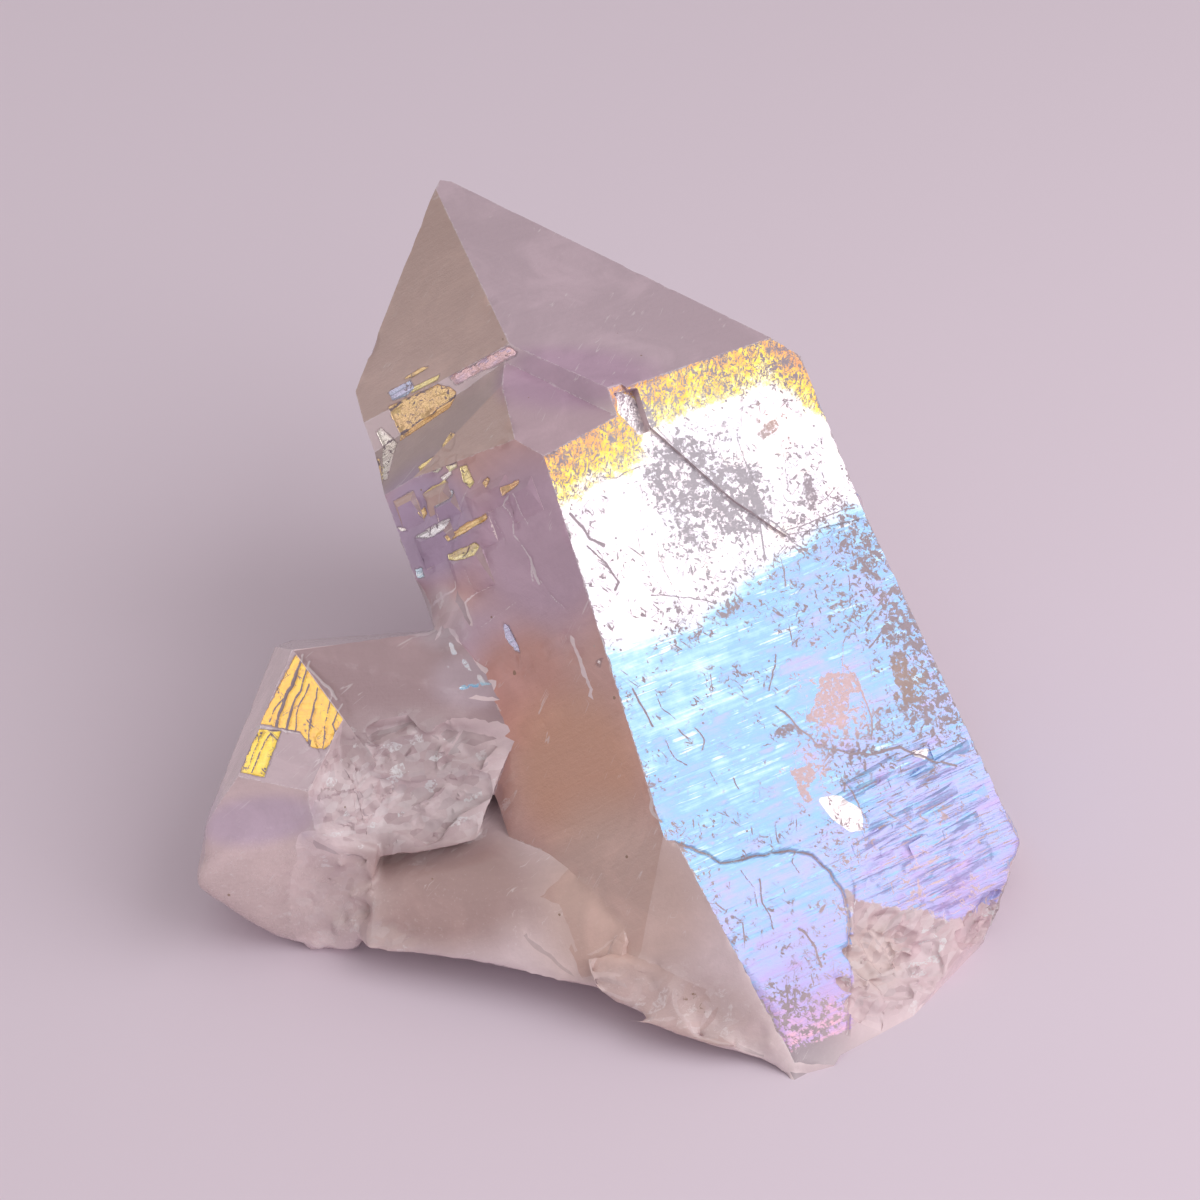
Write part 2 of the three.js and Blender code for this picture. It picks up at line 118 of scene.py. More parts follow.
def lattice_noise(points: Array, seed: int) -> Array:
    """Smooth random values: hashed numbers on a unit lattice, blended with 3t² − 2t³.

    Args:
        points: Rows of three coordinates, in lattice cells.
        seed: Which field of numbers to use.

    Returns:
        One value per row, between −1 and 1.
    """
    cell = np.floor(points).astype(np.int64)
    part = points - cell
    blend = part * part * (3.0 - 2.0 * part)
    total = np.zeros(len(points))
    for corner in range(8):
        step = np.array([corner & 1, (corner >> 1) & 1, (corner >> 2) & 1])
        weight = np.prod(np.where(step == 1, blend, 1.0 - blend), axis=1)
        total += weight * (2.0 * hashed(cell + step, seed) - 1.0)
    return total


def sites(points: Array, size: float, seed: int) -> Iterator[tuple[Array, Array, Array]]:
    """The random sites near each point, one in every cell of a cubic lattice.

    Args:
        points: Rows of millimetres.
        size: Distance between sites, in millimetres.
        seed: Which sites to use.

    Yields:
        For each of the 27 nearest cells in turn, the points' offsets from its site, the site's
        slope (three numbers from −0.5 to 0.5) and its level (0 to 1).
    """
    scaled = points / size
    home = np.floor(scaled).astype(np.int64)
    for number in range(27):
        cell = home + np.array([number % 3 - 1, number // 3 % 3 - 1, number // 9 - 1])
        chance = np.stack([hashed(cell, seed + k) for k in range(7)], axis=1)
        yield scaled - cell - chance[:, :3], chance[:, 3:6] - 0.5, chance[:, 6]


def scallops(points: Array, size: float, seed: int, tilt: float = 1.7) -> Array:
    """Shell-shaped bowls with sharp ridges between them, as glass and quartz break.

    Each site has a bowl whose height is the squared distance plus a random slope times the
    offset plus a random level, and the surface is the lowest of the bowls.

    Args:
        points: Rows of millimetres.
        size: Distance between sites, in millimetres.
        seed: Which sites to use.
        tilt: How steep the random slopes are.

    Returns:
        One value per row, roughly between −0.6 and 0.6.
    """
    lowest = np.full(len(points), HUGE)
    for offset, slope, level in sites(points, size, seed):
        bowl = (offset * offset).sum(axis=1) + tilt * (offset * slope).sum(axis=1) + 0.5 * level
        lowest = np.minimum(lowest, bowl)
    return lowest - 0.45


def shards(points: Array, size: float, seed: int) -> Array:
    """Flat flakes with small steps between them, each tilted its own way.

    A point takes the nearest site's slope times its offset from that site, doubled.

    Args:
        points: Rows of millimetres.
        size: Distance between sites, in millimetres.
        seed: Which sites to use.

    Returns:
        One value per row, roughly between −0.6 and 0.6.
    """
    nearest = np.full(len(points), HUGE)
    height = np.zeros(len(points))
    for offset, slope, _ in sites(points, size, seed):
        away = (offset * offset).sum(axis=1)
        closer = away < nearest
        nearest[closer] = away[closer]
        height[closer] = 2.0 * (offset * slope).sum(axis=1)[closer]
    return height


def cloud(points: Array, size: float, seed: int, octaves: int = 3) -> Array:
    """Layered lattice noise: each layer is twice as fine and half as strong.

    Args:
        points: Rows of millimetres.
        size: Width of the largest lumps, in millimetres.
        seed: Which field of numbers to use.
        octaves: How many layers.

    Returns:
        One value per row, roughly between −1 and 1.
    """
    total = np.zeros(len(points))
    for layer in range(octaves):
        total += lattice_noise(points * 2.0**layer / size + 17.3 * layer, seed + layer) / 2.0**layer
    return total / 1.6


def wander(points: Array, reach: float = 0.30, size: float = 1.6) -> Array:
    """Points shifted by clouds up to reach, so that lines drawn on them run unevenly."""
    return points + np.stack([reach * cloud(points, size, 91 + 7 * k, 3) for k in range(3)], axis=1)


def line_gap(flat: Array, start: Array, end: Array) -> Array:
    """Distance of flat points from the line between two spots.

    The line is p + t·(q − p), and the nearest t is the projection of the point on it, held
    between 0 and 1.
    """
    run = end - start
    t = np.clip((flat - start) @ run / (run @ run), 0.0, 1.0)
    return np.linalg.norm(flat - start - t[:, None] * run, axis=1)


# ------------------------------------------------------------------ the stone's flat faces


class Face(IntEnum):
    """Names of the flat faces that carry their own pattern."""

    REST = 0
    BRIGHT = 1
    MATT = 2
    TIP_LEFT = 3
    TIP_RIGHT = 4
    STEP_LEFT = 5
    STEP_RIGHT = 6
    RIGHT = 7
    STUB_GILT = 8
    STUB_FRONT = 9
    STUB_TOP = 10
    BREAK = 11
    BACK = 12


@dataclass(frozen=True)
class Facet:
    """One flat face direction of the crystal and the axes that patterns on it follow.

    A triangle belongs to it within spread degrees of its normal, reach millimetres of its plane
    and higher than above.
    """

    face: Face
    origin: Triple
    across: Triple
    normal: Triple
    reach: float = 2.0
    spread: float = 2.5
    above: float = -FAR

    def axes(self) -> tuple[Array, Array, Array]:
        """Unit vectors of the face: across it, up it and out of it.

        Returns:
            The across vector made square to the normal, their cross product, and the normal.
        """
        out = unit(np.array(self.normal))
        across = np.array(self.across)
        across = unit(across - out * (across @ out))
        return across, np.cross(out, across), out

    def flat(self, points: Array) -> Array:
        """Points as (across, up) on the face, in millimetres from its origin."""
        across, up, _ = self.axes()
        offset = points - np.array(self.origin)
        return np.stack([offset @ across, offset @ up], axis=1)

    def solid(self, spots: Array) -> Array:
        """Points in space of (across, up) spots on the face."""
        across, up, _ = self.axes()
        return np.array(self.origin) + spots[:, :1] * across + spots[:, 1:] * up

    def height(self, points: Array) -> Array:
        """How far points lie out of the face's plane, in millimetres."""
        return (points - np.array(self.origin)) @ self.axes()[2]

    def holds(self, normals: Array, points: Array) -> NDArray[np.bool_]:
        """Which triangles lie on this face.

        Args:
            normals: Unit normals of the triangles.
            points: Their middles.

        Returns:
            True where the normal is within spread degrees and the middle within reach of the plane.
        """
        close = np.abs(self.height(points)) < self.reach
        aligned = normals @ self.axes()[2] > np.cos(np.radians(self.spread))
        return aligned & close & (points[:, 2] > self.above)


BRIGHT = Facet(Face.BRIGHT, (11.677, -11.014, 16.15), (0.8426, 0.5348, -0.0632), (0.405, -0.552, 0.729),
               reach=3.6)
MATT = Facet(Face.MATT, (-1.043, -15.674, 15.16), (0.7609, -0.1899, 0.6204), (-0.547, -0.702, 0.456),
             spread=4.0)
TIP_LEFT = Facet(Face.TIP_LEFT, (-8.853, -10.014, 28.89), (0.7968, -0.1395, 0.5879), (-0.604, -0.188, 0.774))
TIP_RIGHT = Facet(Face.TIP_RIGHT, (8.717, -4.994, 33.92), (0.8521, 0.5212, -0.0483), (0.056, 0.001, 0.998))
STEP_LEFT = Facet(Face.STEP_LEFT, (-13.0, 6.5, 28.8), (0.7968, -0.1395, 0.5879), (-0.62, -0.10, 0.76),
                  spread=13.0, above=24.0)
STEP_RIGHT = Facet(Face.STEP_RIGHT, (-4.6, 3.3, 33.0), (0.8521, 0.5212, -0.0483), (0.01, -0.106, 0.994),
                   above=30.0)
RIGHT = Facet(Face.RIGHT, (24.3, 1.4, 11.1), (0.0, 0.84, -0.54), (0.904, 0.235, 0.358), reach=4.0, spread=4.0)
STUB_GILT = Facet(Face.STUB_GILT, (-22.6, -12.8, 16.4), (0.90, 0.30, -0.20), (0.370, -0.540, 0.756),
                  spread=3.0)
STUB_FRONT = Facet(Face.STUB_FRONT, (-25.6, -17.6, 8.5), (0.98, 0.18, 0.0), (0.182, -0.972, 0.148),
                   spread=3.0)
STUB_TOP = Facet(Face.STUB_TOP, (-15.2, -9.0, 17.8), (1.0, 0.0, 0.0), (0.12, -0.58, 0.80), reach=3.0,
                 spread=18.0, above=14.0)
FACETS = (STUB_TOP, STEP_LEFT, STEP_RIGHT, MATT, BRIGHT, TIP_LEFT, TIP_RIGHT, RIGHT, STUB_GILT, STUB_FRONT)


@dataclass(frozen=True)
class Crack:
    """A crack or scratch: a line of spots on a face, with its half width and depth."""

    facet: Facet
    spots: tuple[Spot, ...]
    width: float
    depth: float

    def gap(self, points: Array, reach: float = 1.5, thick: float = 2.4) -> Array:
        """Distance of each point from the line, measured along the face.

        Args:
            points: Rows of millimetres.
            reach: Only points this close to the line's box are measured.
            thick: Only points this close to the face's plane are measured.

        Returns:
            The smallest distance to any piece of the line, and FAR for points out of reach.
        """
        line = np.array(self.spots)
        flat = self.facet.flat(points)
        near = ((flat > line.min(axis=0) - reach) & (flat < line.max(axis=0) + reach)).all(axis=1)
        near &= np.abs(self.facet.height(points)) < thick
        nearest = np.full(near.sum(), FAR)
        for start, end in zip(line[:-1], line[1:]):
            nearest = np.minimum(nearest, line_gap(flat[near], start, end))
        found = np.full(len(points), FAR)
        found[near] = nearest
        return found


def cracks(facet: Facet, *rows: tuple[float, float, tuple[Spot, ...]]) -> tuple[Crack, ...]:
    """Cracks on one face, from rows of half width, depth and spots."""
    return tuple(Crack(facet, spots, width, depth) for width, depth, spots in rows)


PLATE_RIM = (
    (-11.3, -5.9), (-10.2, -6.7), (-8.4, -8.3), (-6.5, -8.8), (-4.3, -8.9), (-2.7, -9.2), (-1.2, -10.1),
    (-0.2, -11.8), (0.1, -13.3), (-0.1, -14.7), (-1.0, -17.4), (-2.2, -20.7), (-3.7, -22.9),
)
CRACKS = (
    *cracks(
        BRIGHT,
        (0.04, 0.03, ((-0.7, 22.8), (0.9, 19.6), (3.2, 15.9))),
        (0.035, 0.02, ((0.3, 22.0), (1.6, 19.4), (3.4, 16.6))),
        (0.06, 0.05, ((3.2, 15.9), (4.1, 14.6), (5.4, 13.6), (6.6, 12.0), (8.0, 10.4))),
        (0.05, 0.05, ((5.6, 20.4), (5.5, 18.2), (5.2, 16.4))),
        (0.05, 0.03, ((6.3, 12.3), (9.3, 12.6), (12.7, 12.6))),
        (0.035, 0.02, ((-3.6, 15.5), (-3.9, 12.6), (-3.6, 9.6))),
        (0.03, 0.02, ((-5.0, 15.6), (-5.0, 13.0), (-4.7, 10.9))),
        (0.05, 0.03, ((-5.7, 11.2), (-2.8, 10.2), (-1.0, 9.2))),
        (0.08, 0.06, ((0.6, 0.8), (1.8, -1.3), (2.9, -3.0), (4.6, -4.1), (6.5, -4.9), (9.0, -5.1),
                      (12.8, -7.7))),
        (0.04, 0.03, ((9.5, 5.3), (8.0, 3.6), (5.9, 0.3), (4.4, -1.5), (3.7, -4.0))),
        (0.07, 0.05, ((7.2, 1.9), (7.8, -0.2), (7.8, -2.2), (7.1, -3.9))),
        (0.06, 0.04, ((2.3, 4.2), (1.1, 2.6), (0.5, 2.0))),
        (0.06, 0.05, ((3.5, -5.5), (4.0, -7.2), (4.1, -9.6))),
        (0.08, 0.04, ((-9.6, 5.2), (-9.4, 3.6), (-9.3, 2.4))),
        (0.04, 0.02, ((-8.1, 4.7), (-8.0, 3.5), (-7.4, 2.3))),
        (0.07, 0.04, ((-6.2, 1.2), (-5.8, 0.2), (-6.4, -0.4))),
        (0.05, 0.03, ((-8.8, 1.1), (-8.6, -0.5), (-8.0, -1.0))),
        (0.05, 0.03, ((-6.3, -2.1), (-5.9, -3.2))),
        (0.05, 0.03, ((-4.7, -3.2), (-4.6, -4.0))),
        (0.08, 0.04, ((-11.4, -1.8), (-11.5, -3.3), (-11.3, -4.3))),
        (0.07, 0.04, ((-5.9, -10.5), (-6.3, -11.9), (-6.2, -13.1), (-6.4, -14.1))),
        (0.05, 0.03, ((-7.1, -9.4), (-6.6, -11.0), (-6.8, -12.1))),
        (0.08, 0.05, ((-4.3, -14.8), (-3.6, -16.2), (-3.7, -17.7))),
        (0.10, 0.06, ((11.6, 8.8), (11.9, 7.8), (12.6, 6.9))),
        (0.065, 0.12, PLATE_RIM),
        (0.05, 0.03, ((-2.4, -9.4), (-3.0, -10.1), (-2.7, -11.0))),
        (0.05, 0.03, ((-6.3, 20.4), (-4.9, 20.0), (-2.7, 20.3))),
        (0.10, 0.04, ((-9.4, 18.6), (-8.6, 16.4), (-7.8, 15.6))),
        (0.08, 0.04, ((-9.0, 16.0), (-8.0, 14.4), (-7.6, 12.9), (-8.2, 12.4))),
    ),
    *cracks(
        MATT,
        (0.055, 0.02, ((1.4, 20.7), (0.7, 20.2), (0.8, 19.0), (0.4, 18.0), (0.7, 17.1), (1.0, 15.8),
                       (0.6, 14.4))),
        (0.04, 0.02, ((1.8, 20.7), (1.9, 19.5), (1.9, 18.3))),
        (0.03, 0.02, ((0.9, 14.9), (1.5, 13.1), (2.5, 11.1))),
        (0.11, 0.03, ((1.0, 15.9), (1.0, 14.8), (0.9, 14.0))),
        (0.03, 0.02, ((-0.6, 19.6), (-0.5, 18.7), (-0.5, 17.6))),
        (0.03, 0.02, ((-4.2, 17.3), (-4.5, 15.7))),
        (0.025, 0.01, ((-1.0, 13.5), (-4.0, 13.2), (-5.1, 13.0))),
    ),
    *cracks(
        STUB_GILT,
        (0.10, 0.05, ((1.1, 5.6), (0.1, 3.1), (-1.3, 0.5))),
        (0.08, 0.05, ((1.6, 5.1), (0.8, 3.0), (-0.6, 0.1))),
        (0.09, 0.05, ((1.6, 4.6), (2.4, 3.7), (3.3, 2.2))),
        (0.11, 0.06, ((-2.6, 0.5), (-1.0, 0.3), (0.5, 0.0))),
        (0.05, 0.03, ((0.6, 4.4), (-0.3, 2.6), (-1.8, 0.9))),
        (0.06, 0.04, ((2.1, 3.2), (1.4, 0.9), (1.1, -1.0))),
        (0.05, 0.03, ((3.0, 2.6), (2.5, 0.6), (2.2, -1.3))),
        (0.05, 0.03, ((1.5, 3.4), (0.4, 1.2), (0.2, 0.1))),
        (0.06, 0.03, ((3.7, 1.8), (3.0, 0.3), (3.2, -0.4))),
        (0.06, 0.03, ((-1.7, 0.1), (-2.6, -1.4), (-3.4, -2.9))),
        (0.04, 0.02, ((-2.3, 0.1), (-3.1, -1.3), (-3.7, -2.7))),
    ),
)


@dataclass(frozen=True)
class Tile:
    """A many-sided patch on a face, given by its corners in turn.

    film is the order of its film colour, steep how sharp its rim is, and seam how strongly a
    dark line is drawn round it.
    """

    facet: Facet
    corners: tuple[Spot, ...]
    film: float = 0.2
    steep: float = 2.5
    seam: float = 1.0

    def depth(self, points: Array) -> Array:
        """How far inside the patch each point is, in millimetres; negative outside.

        It is the distance to the nearest side, taken as positive inside, where a line to the
        right crosses the sides an odd number of times.

        Args:
            points: Rows of millimetres.

        Returns:
            One distance per row.
        """
        flat = self.facet.flat(points)
        nearest = np.full(len(points), HUGE)
        inside = np.zeros(len(points), bool)
        loop = np.array(self.corners)
        for start, end in zip(loop, np.roll(loop, -1, axis=0)):
            run = end - start
            nearest = np.minimum(nearest, line_gap(flat, start, end))
            above = (start[1] > flat[:, 1]) != (end[1] > flat[:, 1])
            rise = np.where(abs(run[1]) < 1e-9, 1e-9, run[1])
            inside ^= above & (flat[:, 0] < run[0] * (flat[:, 1] - start[1]) / rise + start[0])
        return np.where(inside, nearest, -nearest)

    def cover(self, points: Array) -> Array:
        """0.5 on the rim of the patch, rising inwards by steep per millimetre."""
        return np.clip(0.5 + self.steep * self.depth(points), -0.6, 1.6)

    def near(self, points: Array, thick: float = 2.0) -> NDArray[np.bool_]:
        """Whether each point is this close to the face's plane."""
        return np.abs(self.facet.height(points)) < thick


def tiles(
    facet: Facet, *rows: tuple[float, tuple[Spot, ...]], steep: float = 2.5, seam: float = 1.0
) -> tuple[Tile, ...]:
    """Patches on one face, from rows of film order and corners."""
    return tuple(Tile(facet, corners, film, steep, seam) for film, corners in rows)


# ------------------------------------------------------------------ cutting the solid fine


@dataclass
class FineMesh:
    """A closed triangle mesh with a label for the flat face that each triangle lies on."""

    points: Array
    triangles: Index
    label: Index = field(default_factory=lambda: np.zeros(0, np.int64))

    @classmethod
    def from_object(cls, source: bpy.types.Object) -> "FineMesh":
        """A welded copy of an object's mesh, in millimetres.

        Args:
            source: The object to copy. It is not changed.

        Returns:
            The mesh with equal points merged, and triangles that collapsed left out.
        """
        mesh = source.data
        mesh.calc_loop_triangles()
        raw = np.empty(len(mesh.vertices) * 3, np.float32)
        mesh.vertices.foreach_get("co", raw)
        corners = np.empty(len(mesh.loop_triangles) * 3, np.int32)
        mesh.loop_triangles.foreach_get("vertices", corners)
        places = np.round(raw.reshape(-1, 3).astype(float) / METRES, 4)
        points, lookup = np.unique(places, axis=0, return_inverse=True)
        triangles = lookup.reshape(-1)[corners.reshape(-1, 3)].astype(np.int64)
        a, b, c = triangles.T
        made = cls(points, triangles[(a != b) & (b != c) & (c != a)])
        made.label_faces()
        return made

    def normals(self) -> Array:
        """Cross products of two sides of each triangle, so twice its area long."""
        p, q, r = (self.points[self.triangles[:, k]] for k in range(3))
        return np.cross(q - p, r - p)

    def middles(self) -> Array:
        """The mean of each triangle's corners."""
        return self.points[self.triangles].mean(axis=1)

    def edges(self) -> tuple[Index, Index, Index, Index]:
        """Pairs of triangle sides that meet.

        Returns:
            Both half edges of every edge, as row numbers in the list that first holds every
            triangle's side 0, then side 1, then side 2, and the edge's two points in order.
        """
        side = np.concatenate([self.triangles[:, [k, (k + 1) % 3]] for k in range(3)])
        low, high = side.min(axis=1), side.max(axis=1)
        order = np.argsort(low * len(self.points) + high, kind="stable").reshape(-1, 2)
        return order[:, 0], order[:, 1], low[order[:, 0]], high[order[:, 0]]

    def label_faces(self, bend: float = 0.6, sliver: float = 2e-3) -> None:
        """Gives connected triangles within bend degrees of each other the same label.

        Args:
            bend: Largest angle across a side inside one flat face.
            sliver: A triangle thinner than this has no sure normal, and goes with the triangle
                across its longest side.
        """
        count = len(self.triangles)
        first, second, low, high = self.edges()
        normal = self.normals()
        out = unit(normal)
        one, two = first % count, second % count
        flat = (out[one] * out[two]).sum(axis=1) > np.cos(np.radians(bend))
        length = np.linalg.norm(self.points[low] - self.points[high], axis=1)
        longest = np.zeros(count)
        np.maximum.at(longest, one, length)
        np.maximum.at(longest, two, length)
        thin = np.linalg.norm(normal, axis=1) / np.maximum(longest, 1e-9) < sliver
        joined = flat
        for side in (one, two):
            joined = joined | (thin[side] & (length >= longest[side] - 1e-9))
        label = np.arange(count)
        one, two = one[joined], two[joined]
        while True:
            before = label.copy()
            least = np.minimum(label[one], label[two])
            np.minimum.at(label, one, least)
            np.minimum.at(label, two, least)
            np.minimum.at(label, before, label)
            label = label[label]
            if np.array_equal(before, label):
                break
        self.label = np.unique(label, return_inverse=True)[1].reshape(-1)

    def label_normals(self) -> Array:
        """The mean normal of each label, one unit row per label."""
        total = np.zeros((self.label.max() + 1, 3))
        np.add.at(total, self.label, self.normals())
        return unit(total)

    def refine(self, size_at: "SizeField", most: int = 40) -> None:
        """Halves long sides until each is shorter than the size wanted at its middle.

        Each round marks the longest side of every triangle that is still too long, puts a point
        in the middle of each marked side, and cuts the triangles on both sides of it, so that
        the mesh stays closed. A triangle with one, two or three marked sides becomes two, three
        or four.

        Args:
            size_at: Gives the wanted length of side at any point.
            most: Number of rounds at most.
        """
        for _ in range(most):
            count = len(self.triangles)
            first, second, low, high = self.edges()
            ends = self.points[low], self.points[high]
            length = np.linalg.norm(ends[0] - ends[1], axis=1)
            ratio = length / size_at((ends[0] + ends[1]) / 2)
            side_edge = np.empty(3 * count, np.int64)
            side_edge[first] = side_edge[second] = np.arange(len(low))
            side_edge = side_edge.reshape(3, count).T
            worst = np.argmax(length[side_edge], axis=1)
            chosen = side_edge[np.arange(count), worst]
            marked = np.zeros(len(low), bool)
            marked[chosen[ratio[chosen] > 1.0]] = True
            if not marked.any():
                return
            middle = np.full(len(low), -1)
            middle[marked] = len(self.points) + np.arange(marked.sum())
            self.points = np.concatenate([self.points, ((ends[0] + ends[1]) / 2)[marked]])
            self._split(middle[side_edge])

    def _split(self, middle: Index) -> None:
        """Cuts each triangle at the middles of its marked sides.

        Args:
            middle: Per triangle and side, the number of the new point, or −1.
        """
        marks = (middle >= 0).sum(axis=1)
        parts, labels = [self.triangles[marks == 0]], [self.label[marks == 0]]
        for amount in (1, 2, 3):
            rows = np.flatnonzero(marks == amount)
            if amount == 1:
                turn = np.argmax(middle[rows] >= 0, axis=1)
            elif amount == 2:
                turn = (np.argmin(middle[rows] >= 0, axis=1) + 1) % 3
            else:
                turn = np.zeros(len(rows), np.int64)
            order = (turn[:, None] + np.arange(3)) % 3
            a, b, c = np.take_along_axis(self.triangles[rows], order, axis=1).T
            m, n, k = np.take_along_axis(middle[rows], order, axis=1).T
            if amount == 1:
                pieces = [(a, m, c), (m, b, c)]
            elif amount == 2:
                short = np.linalg.norm(self.points[a] - self.points[n], axis=1)
                short = short < np.linalg.norm(self.points[m] - self.points[c], axis=1)
                pieces = [(m, b, n), (a, m, np.where(short, n, c)), (np.where(short, a, m), n, c)]
            else:
                pieces = [(a, m, k), (m, b, n), (k, n, c), (m, n, k)]
            parts += [np.stack(piece, axis=1) for piece in pieces]
            labels += [self.label[rows]] * len(pieces)
        self.triangles = np.concatenate(parts)
        self.label = np.concatenate(labels)

    def flip(self, rounds: int = 12) -> None:
        """Turns sides inside flat faces where that makes fatter triangles.

        A side is turned when the two angles opposite it add up to more than 180 degrees and both
        new triangles still face outwards. In each round a triangle takes part in one turn only.

        Args:
            rounds: Number of rounds at most.
        """
        out = self.label_normals()
        for _ in range(rounds):
            count = len(self.triangles)
            first, second, low, high = self.edges()
            one, two = first % count, second % count
            inner = self.label[one] == self.label[two]
            rows = np.flatnonzero(inner)
            side_one, side_two = first[rows] // count, second[rows] // count
            one, two = one[rows], two[rows]
            a = self.triangles[one, side_one]
            b = self.triangles[one, (side_one + 1) % 3]
            c = self.triangles[one, (side_one + 2) % 3]
            d = self.triangles[two, (side_two + 2) % 3]
            pa, pb, pc, pd = (self.points[k] for k in (a, b, c, d))
            opposite = self._angle(pc, pa, pb) + self._angle(pd, pa, pb)
            up = out[self.label[one]]
            new_one = (np.cross(pd - pc, pb - pc) * up).sum(axis=1)
            new_two = (np.cross(pa - pc, pd - pc) * up).sum(axis=1)
            gain = np.where((new_one > 1e-7) & (new_two > 1e-7), opposite - np.pi - 1e-4, -1.0)
            size = len(self.points)
            taken = np.isin(np.minimum(c, d) * size + np.maximum(c, d), low * size + high)
            gain[taken] = -1.0
            best = np.zeros(count)
            np.maximum.at(best, one, gain)
            np.maximum.at(best, two, gain)
            pick = (gain > 0) & (gain >= best[one]) & (gain >= best[two])
            picked = np.flatnonzero(pick)
            seen = np.unique(np.concatenate([one[picked], two[picked]]), return_counts=True)
            clash = seen[0][seen[1] > 1]
            picked = picked[~(np.isin(one[picked], clash) | np.isin(two[picked], clash))]
            if len(picked) == 0:
                return
            keys = np.minimum(c, d)[picked] * size + np.maximum(c, d)[picked]
            picked = picked[np.unique(keys, return_index=True)[1]]
            self.triangles[one[picked]] = np.stack([c[picked], d[picked], b[picked]], axis=1)
            self.triangles[two[picked]] = np.stack([c[picked], a[picked], d[picked]], axis=1)

    @staticmethod
    def _angle(tip: Array, left: Array, right: Array) -> Array:
        """The angle at tip between the lines to left and right, in radians."""
        cosine = (unit(left - tip) * unit(right - tip)).sum(axis=1)
        return np.arccos(np.clip(cosine, -1.0, 1.0))

    def neighbour_mean(self) -> Array:
        """The mean of the points that each point shares a side with."""
        _, _, low, high = self.edges()
        count = np.bincount(np.concatenate([low, high]), minlength=len(self.points))
        total = np.empty_like(self.points)
        for axis in range(3):
            sums = np.concatenate([self.points[high, axis], self.points[low, axis]])
            total[:, axis] = np.bincount(np.concatenate([low, high]), sums, len(self.points))
        return total / np.maximum(count, 1)[:, None]

    def smooth(self, share: Array, rounds: int) -> None:
        """Moves points towards their neighbours' mean, each by half its own share a round.

        Args:
            share: One number from 0 to 1 per point.
            rounds: How many times.
        """
        _, _, low, high = self.edges()
        ends, others = np.concatenate([low, high]), np.concatenate([high, low])
        moving = share[ends] > 0.004
        rows, place = np.unique(ends[moving], return_inverse=True)
        others = others[moving]
        count = np.bincount(place)[:, None]
        for _ in range(rounds):
            near = np.stack([np.bincount(place, self.points[others, k]) for k in range(3)], axis=1) / count
            self.points[rows] += 0.5 * share[rows, None] * (near - self.points[rows])

    def relax(self, rounds: int = 3) -> None:
        """Evens the spacing of points inside flat faces, each moving towards its neighbours' mean.

        A point moves only if all its triangles have one label, so it stays in the plane, and it
        goes back where a triangle round it would turn over.

        Args:
            rounds: How many times.
        """
        out = self.label_normals()
        corner = self.triangles.reshape(-1)
        lowest = np.full(len(self.points), 1 << 60)
        highest = np.full(len(self.points), -1)
        np.minimum.at(lowest, corner, np.repeat(self.label, 3))
        np.maximum.at(highest, corner, np.repeat(self.label, 3))
        loose = lowest == highest
        for _ in range(rounds):
            before = self.points.copy()
            moved = 0.4 * self.points + 0.6 * self.neighbour_mean()
            self.points = np.where(loose[:, None], moved, self.points)
            for _ in range(6):
                turned = (self.normals() * out[self.label]).sum(axis=1) < 1e-6
                back = np.zeros(len(self.points), bool)
                back[self.triangles[turned].reshape(-1)] = True
                back &= loose
                if not (turned.any() and back.any()):
                    break
                self.points[back] = before[back]

    def point_normals(self) -> Array:
        """The area-weighted mean of the normals round each point, as unit rows."""
        total = np.zeros_like(self.points)
        face = self.normals()
        for k in range(3):
            np.add.at(total, self.triangles[:, k], face)
        return unit(total)

    def rim_gap(self, bend: float = 14.0, rounds: int = 14, least_area: float = 0.0) -> Array:
        """Distance along the mesh from each point to the nearest sharp side.

        Args:
            bend: The least angle across a side that counts as sharp, in degrees.
            rounds: How many steps the distance spreads.
            least_area: Only sides between flat faces larger than this count, in mm².

        Returns:
            Millimetres, and FAR where no sharp side was reached.
        """
        count = len(self.triangles)
        first, second, low, high = self.edges()
        out = unit(self.normals())
        one, two = first % count, second % count
        sharp = (out[one] * out[two]).sum(axis=1) < np.cos(np.radians(bend))
        area = np.bincount(self.label, np.linalg.norm(self.normals(), axis=1)) / 2.0
        sharp &= (self.label[one] != self.label[two]) & (area[self.label[one]] > least_area)
        sharp &= area[self.label[two]] > least_area
        gap = np.full(len(self.points), FAR)
        gap[low[sharp]] = 0.0
        gap[high[sharp]] = 0.0
        length = np.linalg.norm(self.points[low] - self.points[high], axis=1)
        for _ in range(rounds):
            np.minimum.at(gap, low, gap[high] + length)
            np.minimum.at(gap, high, gap[low] + length)
        return gap


@dataclass(frozen=True)
class Region:
    """A soft-edged egg-shaped volume of the stone."""

    centre: Triple
    radii: Triple
    fade: float = 0.35

    def weight(self, points: Array) -> Array:
        """1 inside, falling smoothly to 0 over the fade at the rim.

        The rim is where the offset from the centre, divided by the radii, has length one.
        """
        reach = np.linalg.norm((points - np.array(self.centre)) / np.array(self.radii), axis=1)
        return 1.0 - ease(1.0 - self.fade, 1.0 + self.fade, reach)


@dataclass(frozen=True)
class Fill:
    """A hollow filled up to a plane: points below it move out along its normal."""

    region: Region
    normal: Triple
    level: float

    def lift(self, points: Array) -> Array:
        """How far each point moves: the depth below the plane times the region's weight."""
        out = unit(np.array(self.normal))
        below = np.maximum(self.level - points @ out, 0.0) * self.region.weight(points)
        return below[:, None] * out


def amount_at(amounts: tuple[tuple[Region, float], ...], points: Array) -> Array:
    """The largest of the regions' weights, each times its own amount, at each point."""
    return np.max([amount * region.weight(points) for region, amount in amounts], axis=0)


